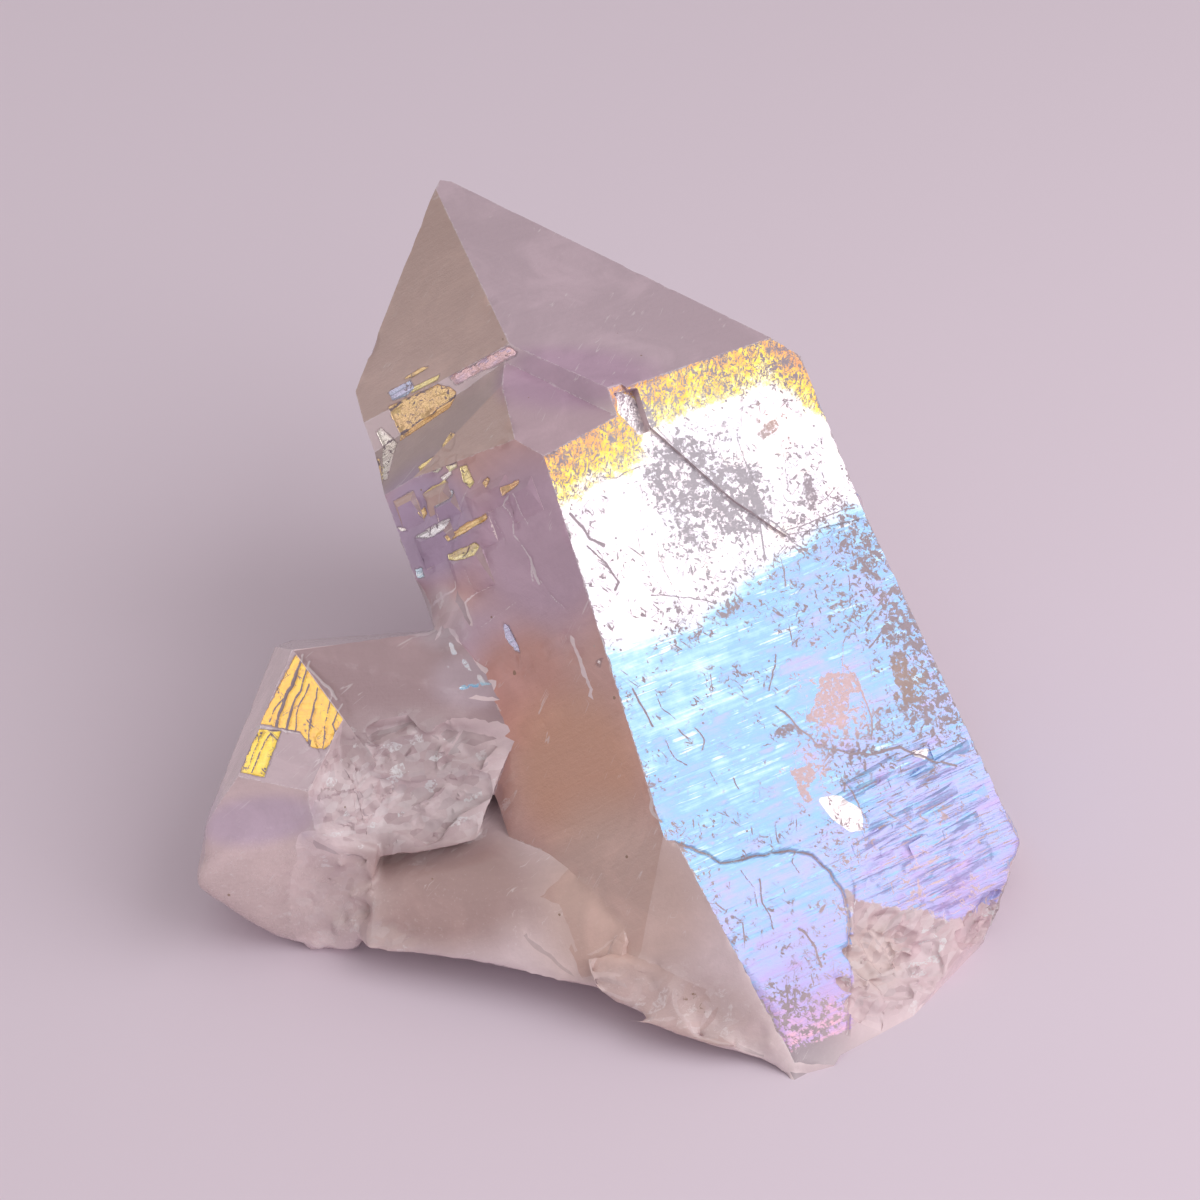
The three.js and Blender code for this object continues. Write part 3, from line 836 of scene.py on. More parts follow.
def strongest(regions: tuple[Region, ...], points: Array) -> Array:
    """The largest weight that any of the regions gives each point."""
    return amount_at(tuple((region, 1.0) for region in regions), points)


@dataclass(frozen=True)
class SizeField:
    """How fine the mesh is at each place, as the wanted length of a side in millimetres."""

    front: float = 0.62
    back: float = 1.5
    under: float = 2.4
    broken: float = 0.325
    patterned: float = 0.185
    crack: float = 0.172
    rough: tuple[Region, ...] = ()
    fine: tuple[Region, ...] = ()
    scale: float = 1.0
    crack_growth: float = 0.55
    behind_lean: float = 0.6
    behind_shift: float = 8.0
    behind_band: tuple[float, float] = (6.0, 18.0)

    def __call__(self, points: Array) -> Array:
        """The wanted length of side at each point.

        Args:
            points: Rows of millimetres.

        Returns:
            The front's size, larger behind and under, smaller in broken places and along cracks.
        """
        depth = points[:, 1] - self.behind_lean * points[:, 2] + self.behind_shift
        size = self.front + (self.back - self.front) * ease(*self.behind_band, depth)
        size = np.where(points[:, 2] < FLOOR_BAND, self.under, size)
        size = size + (self.broken - size) * strongest(self.rough, points)
        size = size + (np.minimum(self.patterned, size) - size) * strongest(self.fine, points)
        for crack in CRACKS:
            near = crack.gap(points)
            size = np.minimum(size, np.maximum(self.crack, self.crack_growth * near))
        return size * self.scale


# ------------------------------------------------------------------ what lies where on the stone


TILES = (
    *tiles(
        TIP_LEFT,
        (0.97, ((-3.7, 20.0), (1.7, 20.1), (2.4, 19.6), (2.1, 19.4), (-3.4, 19.4))),
        (0.13, ((-9.5, 20.2), (-4.8, 19.9), (-3.9, 19.4), (-3.6, 19.0), (-4.2, 17.8), (-9.2, 17.4))),
        (0.74, ((-9.6, 21.7), (-7.5, 21.7), (-7.0, 20.7), (-7.7, 20.3), (-9.1, 20.5))),
        (0.14, ((-8.6, 22.2), (-6.2, 22.4), (-5.6, 22.0), (-7.2, 21.9))),
        (0.24, ((-7.2, 20.9), (-4.6, 20.7), (-4.8, 20.3), (-7.4, 20.3))),
        (0.4, ((-11.1, 19.0), (-10.6, 19.1), (-9.5, 17.4), (-9.9, 13.7), (-10.3, 13.9), (-10.9, 16.6))),
        (0.15, ((-11.6, 17.2), (-11.1, 16.6), (-10.4, 13.6), (-10.9, 13.9))),
    ),
    *tiles(
        MATT,
        (0.15, ((-3.4, 26.6), (-2.8, 27.3), (-2.2, 26.9), (-2.2, 26.1), (-2.6, 25.7), (-3.3, 26.1))),
        (0.2, ((-5.7, 25.8), (-3.8, 26.0), (-3.5, 25.7), (-3.7, 25.4), (-5.2, 25.2))),
        (0.36, ((-4.2, 25.2), (-3.8, 25.4), (-3.3, 24.8), (-3.8, 24.6), (-4.2, 24.8))),
        (0.32, ((-3.0, 25.4), (-1.9, 25.4), (-2.0, 24.3), (-2.8, 24.2), (-2.9, 24.6))),
        (0.25, ((-1.8, 24.2), (-1.2, 24.1), (-1.1, 22.7), (-1.6, 22.5), (-2.0, 23.1))),
        (0.11, ((-0.5, 22.4), (0.1, 22.6), (0.2, 22.4), (-0.3, 21.8))),
        (0.09, ((1.0, 21.4), (2.7, 21.4), (2.4, 21.1), (0.8, 20.8))),
        (0.44, ((-8.4, 24.2), (-6.4, 24.3), (-6.4, 24.0), (-8.2, 24.0))),
        (0.25, ((-5.7, 23.8), (-3.4, 23.9), (-3.3, 23.6), (-5.3, 23.4))),
        (0.44, ((-3.7, 24.2), (-2.6, 24.3), (-2.7, 24.0), (-3.6, 23.9))),
        (0.56, ((-4.1, 23.0), (-3.1, 23.0), (-3.2, 22.5), (-4.1, 22.4), (-4.9, 22.4))),
        (0.5, ((-7.6, 21.1), (-6.1, 21.3), (-4.2, 21.2), (-4.4, 20.6), (-6.2, 20.5))),
        (0.15, ((-5.0, 20.1), (-2.9, 20.3), (-1.1, 20.2), (-1.1, 19.9), (-3.3, 19.7), (-4.9, 19.7))),
        (0.29, ((-5.4, 18.8), (-2.8, 18.7), (-2.6, 18.3), (-2.8, 17.8), (-4.7, 18.1), (-5.5, 18.5))),
        (0.58, ((-8.6, 19.0), (-8.0, 18.9), (-8.1, 18.2), (-8.7, 18.3))),
        (0.44, ((-8.8, 22.4), (-8.1, 22.1), (-8.1, 21.8), (-8.7, 22.0))),
        (0.15, ((-6.6, 22.6), (-6.0, 22.8), (-5.9, 22.3), (-6.3, 22.1))),
        (0.76, ((-3.1, 12.6), (-2.7, 12.3), (-2.5, 10.3), (-2.7, 9.7), (-3.0, 10.3), (-3.3, 11.4))),
        (0.44, ((3.0, 7.0), (4.1, 7.1), (3.2, 6.6))),
    ),
    *tiles(
        STUB_GILT,
        (0.145, ((0.9, 5.8), (4.1, 2.3), (4.4, 1.2), (3.9, 0.3), (3.6, -0.3), (2.2, -1.4), (1.2, -1.2),
                 (0.5, -0.1), (-2.5, 0.7))),
        (0.20, ((-2.7, 0.3), (-0.9, 0.1), (-2.6, -3.2), (-4.4, -2.8))),
        steep=1.8,
    ),
    # Thin white-blue film patches on the stub's top, painted as glints.
    *tiles(
        STUB_TOP,
        (0.50, ((3.6, 3.3), (3.9, 3.4), (4.2, 2.4), (4.0, 2.1), (3.8, 2.5))),
        (0.52, ((4.5, 1.9), (4.8, 2.1), (5.2, 1.2), (4.9, 1.1))),
        (0.48, ((3.3, 1.5), (3.6, 1.6), (3.7, 0.9), (3.5, 0.8))),
        (0.50, ((5.4, 0.9), (5.7, 1.0), (6.2, 0.4), (5.9, 0.3))),
        (0.58, ((4.3, -0.2), (5.2, 0.0), (7.0, 0.3), (7.1, 0.0), (5.3, -0.3), (4.4, -0.5))),
        steep=3.0,
        seam=0.0,
    ),
)
TILE_FACES = {
    Face.TIP_LEFT: (Face.TIP_LEFT, Face.STEP_LEFT, Face.MATT, Face.BREAK),
    Face.MATT: (Face.MATT, Face.STEP_LEFT, Face.BREAK),
    Face.STUB_GILT: (Face.STUB_GILT,),
    Face.STUB_TOP: (Face.STUB_TOP,),
}
CLEAR_BREAK = Tile(
    BRIGHT,
    ((0.3, -13.4), (1.6, -14.6), (4.7, -16.2), (7.0, -17.6), (9.5, -18.6), (12.5, -18.6), (14.5, -17.4),
     (17.0, -19.0), (7.0, -25.0), (-3.7, -23.6), (-2.1, -20.7), (-0.9, -17.4), (0.0, -14.7)),
    steep=0.38,
)
CHIPS = tuple(
    Tile(BRIGHT, corners)
    for corners in (
        ((1.0, -6.4), (2.7, -6.8), (4.2, -8.4), (3.6, -9.8), (2.6, -9.6), (1.6, -8.3)),
        ((9.9, -5.6), (11.4, -5.9), (10.6, -6.6), (9.9, -6.1)),
        ((-2.3, 25.9), (-1.6, 25.8), (-0.9, 25.2), (-0.9, 22.6), (-1.6, 22.5), (-2.2, 23.1), (-2.9, 24.5)),
    )
)
RUBBED = tuple(
    Tile(BRIGHT, corners, steep=1.4)
    for corners in (
        ((3.5, 15.9), (4.3, 15.9), (5.3, 15.8), (5.5, 15.2), (5.4, 13.7), (4.7, 14.2), (4.2, 14.7)),
        ((9.5, 16.0), (10.2, 16.2), (10.0, 13.9), (9.3, 13.6), (8.9, 14.6)),
        ((7.1, 19.9), (8.0, 20.4), (9.2, 20.4), (9.2, 19.9), (8.4, 19.7), (7.4, 19.4)),
        ((4.9, 1.7), (6.5, 1.6), (7.7, 1.0), (7.8, -0.2), (6.7, -0.3), (5.7, -2.1), (5.1, -2.5),
         (3.9, -1.5), (2.4, -1.0), (3.7, -0.1), (4.4, 0.8)),
        ((-0.1, -3.8), (1.7, -4.1), (1.6, -4.9), (0.5, -5.7), (0.9, -6.5), (0.0, -6.5), (-0.2, -5.4)),
        ((-0.8, -1.0), (1.2, -0.7), (1.4, -1.2), (-0.5, -1.7)),
        ((11.5, 1.8), (12.3, 1.1), (11.9, -0.7), (12.0, -2.3), (10.6, -2.8), (10.8, -1.2), (10.7, 0.8)),
        ((-1.3, 15.1), (-0.3, 15.0), (-0.6, 13.6), (-1.6, 14.0)),
        ((-0.9, 25.1), (-0.6, 24.4), (-0.4, 22.8), (-0.9, 22.3), (-1.0, 22.6)),
    )
)


@dataclass(frozen=True)
class Wash:
    """A soft patch of colour inside the stone, on the named faces or on all of them."""

    region: Region
    colour: Colour
    strength: float = 0.8
    faces: tuple[Face, ...] = ()


def spot(facet: Facet, across: float, up: float, radius: float) -> Region:
    """A round region about a spot on a face."""
    centre = facet.solid(np.array([[across, up]]))[0]
    return Region(tuple(centre), (radius, radius, radius), 0.4)


def spots(facet: Facet, *rows: tuple[float, float, float, float]) -> tuple[tuple[Region, float], ...]:
    """Round regions with their amounts, from rows of across, up, radius and amount."""
    return tuple((spot(facet, across, up, radius), amount) for across, up, radius, amount in rows)


BODY = {
    Face.REST: (0.75, 0.64, 0.64),
    Face.BRIGHT: (0.38, 0.30, 0.34),
    Face.MATT: (0.71, 0.43, 0.39),
    Face.TIP_LEFT: (0.77, 0.55, 0.49),
    Face.TIP_RIGHT: (0.64, 0.49, 0.56),
    Face.STEP_LEFT: (0.70, 0.55, 0.53),
    Face.STEP_RIGHT: (0.62, 0.45, 0.51),
    Face.RIGHT: (0.70, 0.56, 0.62),
    Face.STUB_GILT: (0.60, 0.46, 0.50),
    Face.STUB_FRONT: (0.78, 0.62, 0.62),
    Face.STUB_TOP: (0.57, 0.41, 0.43),
    Face.BREAK: (0.92, 0.75, 0.77),
    Face.BACK: (0.70, 0.57, 0.60),
}
CLEARNESS = {
    Face.BRIGHT: 0.10,
    Face.MATT: 0.14,
    Face.TIP_LEFT: 0.25,
    Face.TIP_RIGHT: 0.20,
    Face.STEP_LEFT: 0.25,
    Face.STUB_TOP: 0.24,
    Face.BREAK: 0.12,
}
ON_BRIGHT = (Face.BRIGHT,)
ON_MATT = (Face.MATT, Face.STEP_LEFT)
ON_STUB = (Face.STUB_TOP, Face.BREAK)
ON_PLATE = (Face.BRIGHT, Face.BREAK)
WASHES = (
    Wash(spot(MATT, 2.5, 16.5, 6.5), (0.60, 0.42, 0.55), 0.9, ON_MATT),
    Wash(spot(MATT, -6.5, 21.5, 4.5), (0.54, 0.41, 0.60), 0.9, ON_MATT),
    Wash(spot(MATT, -5.5, 11.0, 3.5), (0.72, 0.52, 0.66), 0.8, ON_MATT),
    Wash(spot(MATT, -3.6, 7.6, 4.2), (0.72, 0.37, 0.31), 0.9, ON_MATT),
    Wash(spot(MATT, -1.5, 0.5, 5.5), (0.78, 0.43, 0.30), 0.9, ON_MATT),
    Wash(spot(MATT, -1.8, -9.0, 6.5), (0.76, 0.55, 0.48), 0.8),
    Wash(Region((-3.2, 6.2, 34.0), (6.5, 3.2, 1.6)), (0.55, 0.36, 0.50), 0.8),
    # Painted shade: darker colour low in the hollow between the two crystals.
    Wash(Region((-12.0, -18.0, 6.0), (8.0, 5.0, 4.0)), (0.46, 0.29, 0.26), 0.8),
    Wash(Region((-25.2, -17.0, 11.6), (4.4, 3.5, 2.0)), (0.64, 0.51, 0.64), 0.8),
    Wash(Region((-24.0, -17.5, 4.5), (8.0, 4.0, 4.5)), (0.76, 0.60, 0.59), 0.8),
    Wash(Region((3.0, -28.0, 2.5), (8.0, 4.5, 3.5)), (0.74, 0.57, 0.55), 0.8),
    Wash(Region((-14.0, -13.5, 11.0), (6.0, 4.0, 4.5)), (0.91, 0.74, 0.76), 0.8, ON_STUB),
    Wash(Region((-16.0, -20.6, 2.8), (2.6, 1.6, 1.3)), (0.84, 0.66, 0.62), 0.6),
    Wash(Region((-10.3, -8.3, 17.3), (2.6, 2.4, 1.6)), (0.70, 0.56, 0.63), 0.8, (Face.STUB_TOP,)),
    Wash(Region((-12.2, -4.2, 20.0), (2.2, 2.6, 1.8)), (0.78, 0.66, 0.74), 0.6),
    Wash(spot(BRIGHT, 5.4, 0.2, 3.4), (0.88, 0.62, 0.64), 0.9, ON_BRIGHT),
    Wash(spot(BRIGHT, 0.6, -4.6, 2.4), (0.84, 0.60, 0.62), 0.9, ON_BRIGHT),
    Wash(spot(BRIGHT, 8.4, 20.0, 1.9), (0.86, 0.50, 0.36), 0.9, ON_BRIGHT),
    Wash(spot(BRIGHT, 11.4, -0.6, 1.9), (0.44, 0.31, 0.27), 0.9, ON_BRIGHT),
    Wash(spot(BRIGHT, 1.5, 17.0, 8.0), (0.54, 0.51, 0.56), 0.85, ON_BRIGHT),
    Wash(Region((-14.5, -11.3, 14.2), (7.0, 2.8, 2.4)), (0.74, 0.58, 0.60), 0.75, ON_STUB),
    Wash(spot(BRIGHT, 7.5, -21.0, 11.0), (0.92, 0.68, 0.72), 1.0, ON_PLATE),
    Wash(spot(BRIGHT, 0.8, -18.5, 2.6), (0.93, 0.76, 0.68), 0.5, ON_PLATE),
)
WORN = spots(
    BRIGHT,
    (0.3, 18.6, 3.6, 0.80), (3.4, 15.8, 3.4, 0.85), (3.0, 20.4, 2.2, 0.55), (-0.6, 14.2, 2.6, 0.60),
    (9.4, 16.6, 2.4, 0.50), (8.0, 12.2, 2.6, 0.62), (12.4, 9.5, 2.8, 0.72), (11.0, 12.4, 2.0, 0.60),
    (-4.4, 8.6, 2.2, 0.52), (-0.5, 9.6, 2.4, 0.60), (3.6, 10.9, 2.2, 0.55), (13.8, 3.5, 3.6, 0.74),
    (12.8, -2.5, 3.6, 0.72), (9.6, 6.0, 3.6, 0.55), (5.5, 6.5, 3.5, 0.42), (4.2, -3.6, 3.4, 0.62),
    (7.4, -3.4, 3.0, 0.60), (-8.9, 17.5, 1.3, 0.42), (-8.0, 13.8, 1.5, 0.40), (-9.2, 23.0, 1.8, 0.45),
    (0.0, 25.0, 1.5, 0.55), (6.0, 26.4, 2.0, 0.60), (11.5, 25.0, 2.6, 0.55), (-4.6, -16.5, 2.4, 0.42),
    (-7.2, -20.4, 3.2, 0.62), (-4.4, -22.0, 2.6, 0.60), (2.0, -9.8, 2.6, 0.45), (-11.2, 5.0, 1.8, 0.50),
    (-11.8, -1.5, 1.8, 0.55), (-11.3, -6.0, 1.6, 0.50), (-9.6, -13.0, 1.8, 0.48), (-10.0, -9.5, 1.6, 0.45),
)
COMBED = spots(
    BRIGHT,
    (8.5, -8.0, 5.0, 0.60), (13.0, -9.0, 5.0, 0.50), (7.0, -14.5, 5.0, 0.62), (12.5, -15.5, 5.0, 0.62),
    (1.5, -12.0, 2.0, 0.55), (14.0, 2.0, 3.0, 0.45),
)
STAINS = (
    Region((5.3, -26.7, 3.7), (1.0, 0.35, 0.35)),
    Region((6.6, -27.4, 3.0), (0.9, 0.35, 0.35)),
    Region((-17.2, -18.0, 6.1), (0.6, 0.5, 0.3)),
    Region((-18.0, -19.5, 1.6), (0.4, 0.5, 0.4)),
    Region((-8.0, 10.2, 34.8), (0.45, 0.4, 0.4)),
)
SOFTENED = (
    (Region((-9.5, -20.5, 3.5), (12.0, 5.0, 4.5)), 0.30),
    (Region((5.0, -28.0, 2.0), (9.0, 4.5, 4.0)), 0.70),
    (Region((-24.5, -18.0, 4.0), (8.5, 4.0, 7.0)), 0.90),
)
EASED = (
    Region((-5.0, -10.7, 18.2), (5.5, 3.5, 3.6)),
    Region((-12.0, -4.2, 20.6), (2.8, 3.0, 1.6), 0.25),
)
SHOULDER = Region((-15.5, -13.0, 11.0), (7.5, 5.0, 5.0))
FINE = (
    spot(MATT, -4.0, 22.0, 7.0),
    Region((-14.5, 8.5, 28.5), (4.5, 4.0, 4.5)),
    Region((-22.6, -12.8, 16.6), (4.6, 4.6, 4.0)),
)
LOWER_RIGHT = (
    Region((19.5, -21.5, 4.0), (7.0, 5.5, 4.5)),
    Region((28.0, -13.0, 2.5), (4.0, 6.5, 4.0)),
)
SHATTERED = (SHOULDER, *LOWER_RIGHT)
CRAZED = (
    (SHOULDER, 1.0),
    *((region, 0.9) for region in LOWER_RIGHT),
    (Region((-20.5, -17.5, 5.5), (3.2, 3.0, 5.0), 0.6), 0.50),
    (Region((-15.6, -20.0, 3.4), (2.6, 1.6, 1.2)), 0.6),
    (Region((4.0, -27.5, 2.5), (7.5, 3.5, 3.0), 0.5), 0.35),
    (Region((-12.2, -4.2, 20.0), (2.0, 2.4, 1.6)), 0.5),
)
FILLED = (Fill(Region((-18.6, -14.2, 10.4), (3.4, 3.4, 3.8)), (0.47, -0.70, 0.53), 7.9),)


# ------------------------------------------------------------------ the surface finish


class Wiring:
    """Short ways to add and join shader nodes."""

    def __init__(self, tree: bpy.types.NodeTree) -> None:
        """Keeps the tree that nodes go into."""
        self.tree = tree

    def node(self, kind: str, **settings: object) -> bpy.types.Node:
        """A new node with the given properties set."""
        made = self.tree.nodes.new(kind)
        for name, value in settings.items():
            setattr(made, name, value)
        return made

    def feed(self, socket: Socket, value: object) -> None:
        """Joins a socket to another, or sets its number."""
        if isinstance(value, Socket):
            self.tree.links.new(value, socket)
        else:
            socket.default_value = value

    def maths(self, operation: str, *values: object, clamp: bool = False) -> Socket:
        """One Math node over numbers or sockets."""
        made = self.node("ShaderNodeMath", operation=operation, use_clamp=clamp)
        for place, value in enumerate(values):
            self.feed(made.inputs[place], value)
        return made.outputs[0]

    def band(self, value: object, low: float, high: float) -> Socket:
        """0 where value is at low and 1 at high, eased between them."""
        made = self.node("ShaderNodeMapRange", interpolation_type="SMOOTHSTEP")
        self.feed(made.inputs["Value"], value)
        made.inputs["From Min"].default_value = min(low, high)
        made.inputs["From Max"].default_value = max(low, high)
        made.inputs["To Min"].default_value = float(low > high)
        made.inputs["To Max"].default_value = float(low <= high)
        return made.outputs["Result"]

    def stretch(self, vector: Socket, scale: Triple) -> Socket:
        """A vector with each part multiplied by its own number."""
        made = self.node("ShaderNodeVectorMath", operation="MULTIPLY")
        self.feed(made.inputs[0], vector)
        made.inputs[1].default_value = scale
        return made.outputs[0]

    def turned(
        self, vector: Socket, degrees: float, scale: Triple
    ) -> Socket:
        """A vector scaled along axes turned within the face by an angle."""
        spun = self.node("ShaderNodeVectorRotate", rotation_type="Z_AXIS")
        self.feed(spun.inputs["Vector"], vector)
        spun.inputs["Angle"].default_value = float(np.radians(-degrees))
        return self.stretch(spun.outputs[0], scale)

    def centred(self, value: Socket, amount: float = 1.0) -> Socket:
        """Noise about 0 in place of 0.5, times an amount."""
        return self.maths("MULTIPLY", self.maths("SUBTRACT", value, 0.5), amount)

    def both(self, *values: object) -> Socket:
        """All the values multiplied together."""
        total = values[0]
        for value in values[1:]:
            total = self.maths("MULTIPLY", total, value)
        return total

    def either(self, *values: object) -> Socket:
        """The largest of the values."""
        total = values[0]
        for value in values[1:]:
            total = self.maths("MAXIMUM", total, value)
        return total

    def noise(
        self,
        vector: Socket,
        scale: float,
        detail: float = 3.0,
        rough: float = 0.55,
        twist: float = 0.0,
    ) -> Socket:
        """Layered noise about 0.5."""
        made = self.node("ShaderNodeTexNoise")
        self.feed(made.inputs["Vector"], vector)
        made.inputs["Scale"].default_value = scale
        made.inputs["Detail"].default_value = detail
        made.inputs["Roughness"].default_value = rough
        made.inputs["Distortion"].default_value = twist
        return made.outputs["Fac"]

    def attribute(self, name: str, output: str = "Fac") -> Socket:
        """A value stored on the mesh."""
        return self.node("ShaderNodeAttribute", attribute_name=name).outputs[output]

    def mix(self, share: object, first: object, second: object) -> Socket:
        """A colour between two colours."""
        made = self.node("ShaderNodeMix", data_type="RGBA")
        self.feed(made.inputs["Factor"], share)
        self.feed(made.inputs[6], first if isinstance(first, Socket) else (*first, 1.0))
        self.feed(made.inputs[7], second if isinstance(second, Socket) else (*second, 1.0))
        return made.outputs[2]

    def between(self, share: object, first: object, second: object) -> Socket:
        """A number between two numbers."""
        made = self.node("ShaderNodeMix", data_type="FLOAT")
        self.feed(made.inputs[0], share)
        self.feed(made.inputs[2], first)
        self.feed(made.inputs[3], second)
        return made.outputs[0]

    def ramp(self, value: object, stops: tuple[tuple[float, Colour], ...]) -> Socket:
        """A colour band with a colour at each stop."""
        made = self.node("ShaderNodeValToRGB")
        band = made.color_ramp
        while len(band.elements) < len(stops):
            band.elements.new(1.0)
        for element, (place, colour) in zip(band.elements, stops):
            element.position = place
            element.color = (*colour, 1.0)
        self.feed(made.inputs[0], value)
        return made.outputs[0]


FILM_COLOURS = (
    (0.00, (0.62, 0.30, 0.16)),
    (0.07, (0.84, 0.43, 0.14)),
    (0.14, (0.92, 0.55, 0.12)),
    (0.20, (0.95, 0.70, 0.10)),
    (0.28, (0.96, 0.83, 0.30)),
    (0.36, (0.94, 0.89, 0.76)),
    (0.46, (0.90, 0.83, 0.87)),
    (0.53, (0.76, 0.80, 0.88)),
    (0.59, (0.42, 0.68, 0.88)),
    (0.65, (0.28, 0.51, 0.81)),
    (0.73, (0.44, 0.48, 0.81)),
    (0.81, (0.48, 0.41, 0.75)),
    (0.89, (0.57, 0.39, 0.67)),
    (0.97, (0.84, 0.46, 0.52)),
)


@dataclass(frozen=True)
class Grain:
    """The noises that every part of the finish shares, in each face's own millimetres."""

    face: Socket
    rag: Socket
    stipple: Socket
    streaks: Socket
    comb: Socket

    @classmethod
    def grow(cls, wire: Wiring) -> "Grain":
        """Makes the noises: ragged, fine, in broad streaks and in fine streaks along growth lines."""
        face = wire.attribute("face_place", "Vector")
        return cls(
            face=face,
            rag=wire.noise(face, 1.1, 6.0, 0.68),
            stipple=wire.noise(face, 3.2, 4.0, 0.7),
            streaks=wire.noise(wire.turned(face, 2.0, (0.10, 2.3, 1.0)), 1.0, 3.0, 0.62),
            comb=wire.noise(wire.turned(face, 3.0, (0.34, 4.6, 1.0)), 1.0, 3.0, 0.6, 0.3),
        )


@dataclass(frozen=True)
class AuraQuartz:
    """Quartz with a metal film a few light waves thick: film colours above, milky stone below.

    A Band holds the two values between which a share goes from 0 to 1.
    """

    name: str = "aura_quartz"
    refraction: float = 1.544
    film_shine: float = 0.42
    film_roughness: float = 0.20
    stone_roughness: float = 0.11
    frost_roughness: float = 0.26
    relief: float = 0.55
    relief_depth: float = 0.00012
    # Pale colour for cracks, scratches and dust, and for painted edge highlights and sparkle.
    pale: Colour = (0.93, 0.86, 0.88)
    crevice: Colour = (0.20, 0.14, 0.17)
    # Colour of the darker flakes: painted shade on facets turned from the light.
    flake_painted_shade: Colour = (0.56, 0.39, 0.42)
    # Colour of the lighter flakes and white flakes: painted highlights and glints.
    painted_glint: Colour = (1.0, 0.97, 0.99)
    # Painted sheen: the pale warm colour that the shiny inlaid patches are mixed towards.
    tile_painted_sheen: Colour = (1.0, 0.90, 0.80)
    dirt: Colour = (0.30, 0.19, 0.12)
    veil_colour: Colour = (0.86, 0.72, 0.74)
    veil_density: float = 14.0
    scratch_angles: tuple[float, ...] = (28.0, 74.0, -52.0)
    flaw_angle: float = 38.0
    crisp: float = 0.015
    bent_line: Band = (0.040, 0.018)
    straight_line: Band = (0.016, 0.006)
    rim_line: Band = (0.10, 0.02)
    film_edge: Band = (0.45, 0.55)
    line_edge: Band = (0.68, 0.80)
    chip_edge: Band = (0.46, 0.54)
    gold_end: Band = (0.36, 0.30)
    cream_end: Band = (0.50, 0.38)
    white_end: Band = (0.52, 0.62)
    least_order: float = 0.06
    chip_order: float = 0.44
    inlay_depth: float = 1.4
    # Share of painted sheen on the shiny inlaid patches.
    tile_sheen_share: float = 0.34
    # Shares of painted shade and painted highlight on the flakes.
    flake_shade_share: float = 0.54
    flake_highlight_share: float = 0.28

    def build(self) -> bpy.types.Material:
        """Makes the material.

        Returns:
            One Principled surface whose colour, shine, roughness, clearness and relief come from
            the values painted on the mesh, broken up by noise that follows each flat face.
        """
        material = bpy.data.materials.new(self.name)
        material.use_nodes = True
        material.node_tree.nodes.clear()
        wire = Wiring(material.node_tree)
        grain = Grain.grow(wire)
        coat = wire.attribute("coat")
        film_there = wire.band(wire.maths("ADD", coat, wire.centred(grain.rag, 0.95)), *self.film_edge)
        line = wire.maths("ADD", wire.attribute("mark"), wire.centred(grain.rag, 0.40))
        line = wire.band(line, *self.line_edge)
        wear = wire.either(self._wear(wire, grain), line)
        coated = wire.maths("MULTIPLY", film_there, wire.maths("SUBTRACT", 1.0, wear), clamp=True)
        surface = wire.node("ShaderNodeBsdfPrincipled")
        surface.inputs["IOR"].default_value = self.refraction
        stone = self._body_colour(wire, grain, line)
        wire.feed(surface.inputs["Base Color"], wire.mix(coated, stone, self._film_colour(wire, grain)))
        shine = wire.maths("MULTIPLY", wire.attribute("sheen"), self.film_shine)
        wire.feed(surface.inputs["Metallic"], wire.both(coated, shine))
        frost = wire.both(wire.attribute("frost"), wire.band(grain.rag, 0.35, 0.60))
        stone_rough = wire.maths("MULTIPLY_ADD", frost, self.frost_roughness, self.stone_roughness)
        film_rough = wire.maths("MULTIPLY_ADD", grain.rag, 0.16, self.film_roughness - 0.08)
        wire.feed(surface.inputs["Roughness"], wire.between(coated, stone_rough, film_rough))
        bare = wire.maths("SUBTRACT", 1.0, coated)
        wire.feed(surface.inputs["Transmission Weight"], wire.both(wire.attribute("clear"), bare))
        wire.feed(surface.inputs["Normal"], self._relief(wire, grain, coat, film_there))
        inside = wire.node("ShaderNodeVolumeAbsorption")
        inside.inputs["Color"].default_value = (*self.veil_colour, 1.0)
        inside.inputs["Density"].default_value = self.veil_density
        output = wire.node("ShaderNodeOutputMaterial")
        wire.feed(output.inputs["Surface"], surface.outputs[0])
        wire.feed(output.inputs["Volume"], inside.outputs[0])
        return material

    def _relief(self, wire: Wiring, grain: Grain, coat: Socket, film_there: Socket) -> Socket:
        """The bent normal: stipple, streaks and combing along the growth lines, and sunk inlays."""
        plateau = wire.both(wire.attribute("inlay"), wire.band(coat, 0.42, 0.58))
        lined = wire.maths("MULTIPLY_ADD", film_there, 1.0, 0.12)
        height = wire.maths("MULTIPLY_ADD", grain.stipple, 0.4, wire.both(wire.centred(grain.streaks), lined))
        combed = wire.maths("MULTIPLY_ADD", wire.attribute("combed"), 1.2, 0.15)
        height = wire.maths("MULTIPLY_ADD", grain.comb, combed, height)
        height = wire.maths("MULTIPLY_ADD", plateau, -self.inlay_depth, height)
        bump = wire.node("ShaderNodeBump")
        bump.inputs["Strength"].default_value = self.relief
        bump.inputs["Distance"].default_value = self.relief_depth
        wire.feed(bump.inputs["Height"], height)
        return bump.outputs[0]

    def _wear(self, wire: Wiring, grain: Grain) -> Socket:
        """Where the film is gone: lace, curls, scratches, pits, rubbing, combing, crackle and chips.

        Scratches are contour lines of noise drawn out along a line, and chips follow the sharp
        sides of the stone.
        """
        worn = wire.attribute("worn")
        group = wire.maths("MULTIPLY_ADD", worn, 0.20, wire.noise(grain.face, 0.45, 3.0, 0.6))
        rim = wire.maths("ADD", wire.attribute("rim"), wire.centred(grain.rag, 1.1))
        return wire.either(
            self._lace(wire, grain, worn),
            self._curls(wire, grain, group),
            *(self._scratch(wire, grain.face, angle, group) for angle in self.scratch_angles),
            self._pits(wire, grain, group),
            self._rubbed(wire, grain),
            self._combed(wire, grain),
            self._crackle(wire, grain),
            wire.band(rim, *self.rim_line),
        )

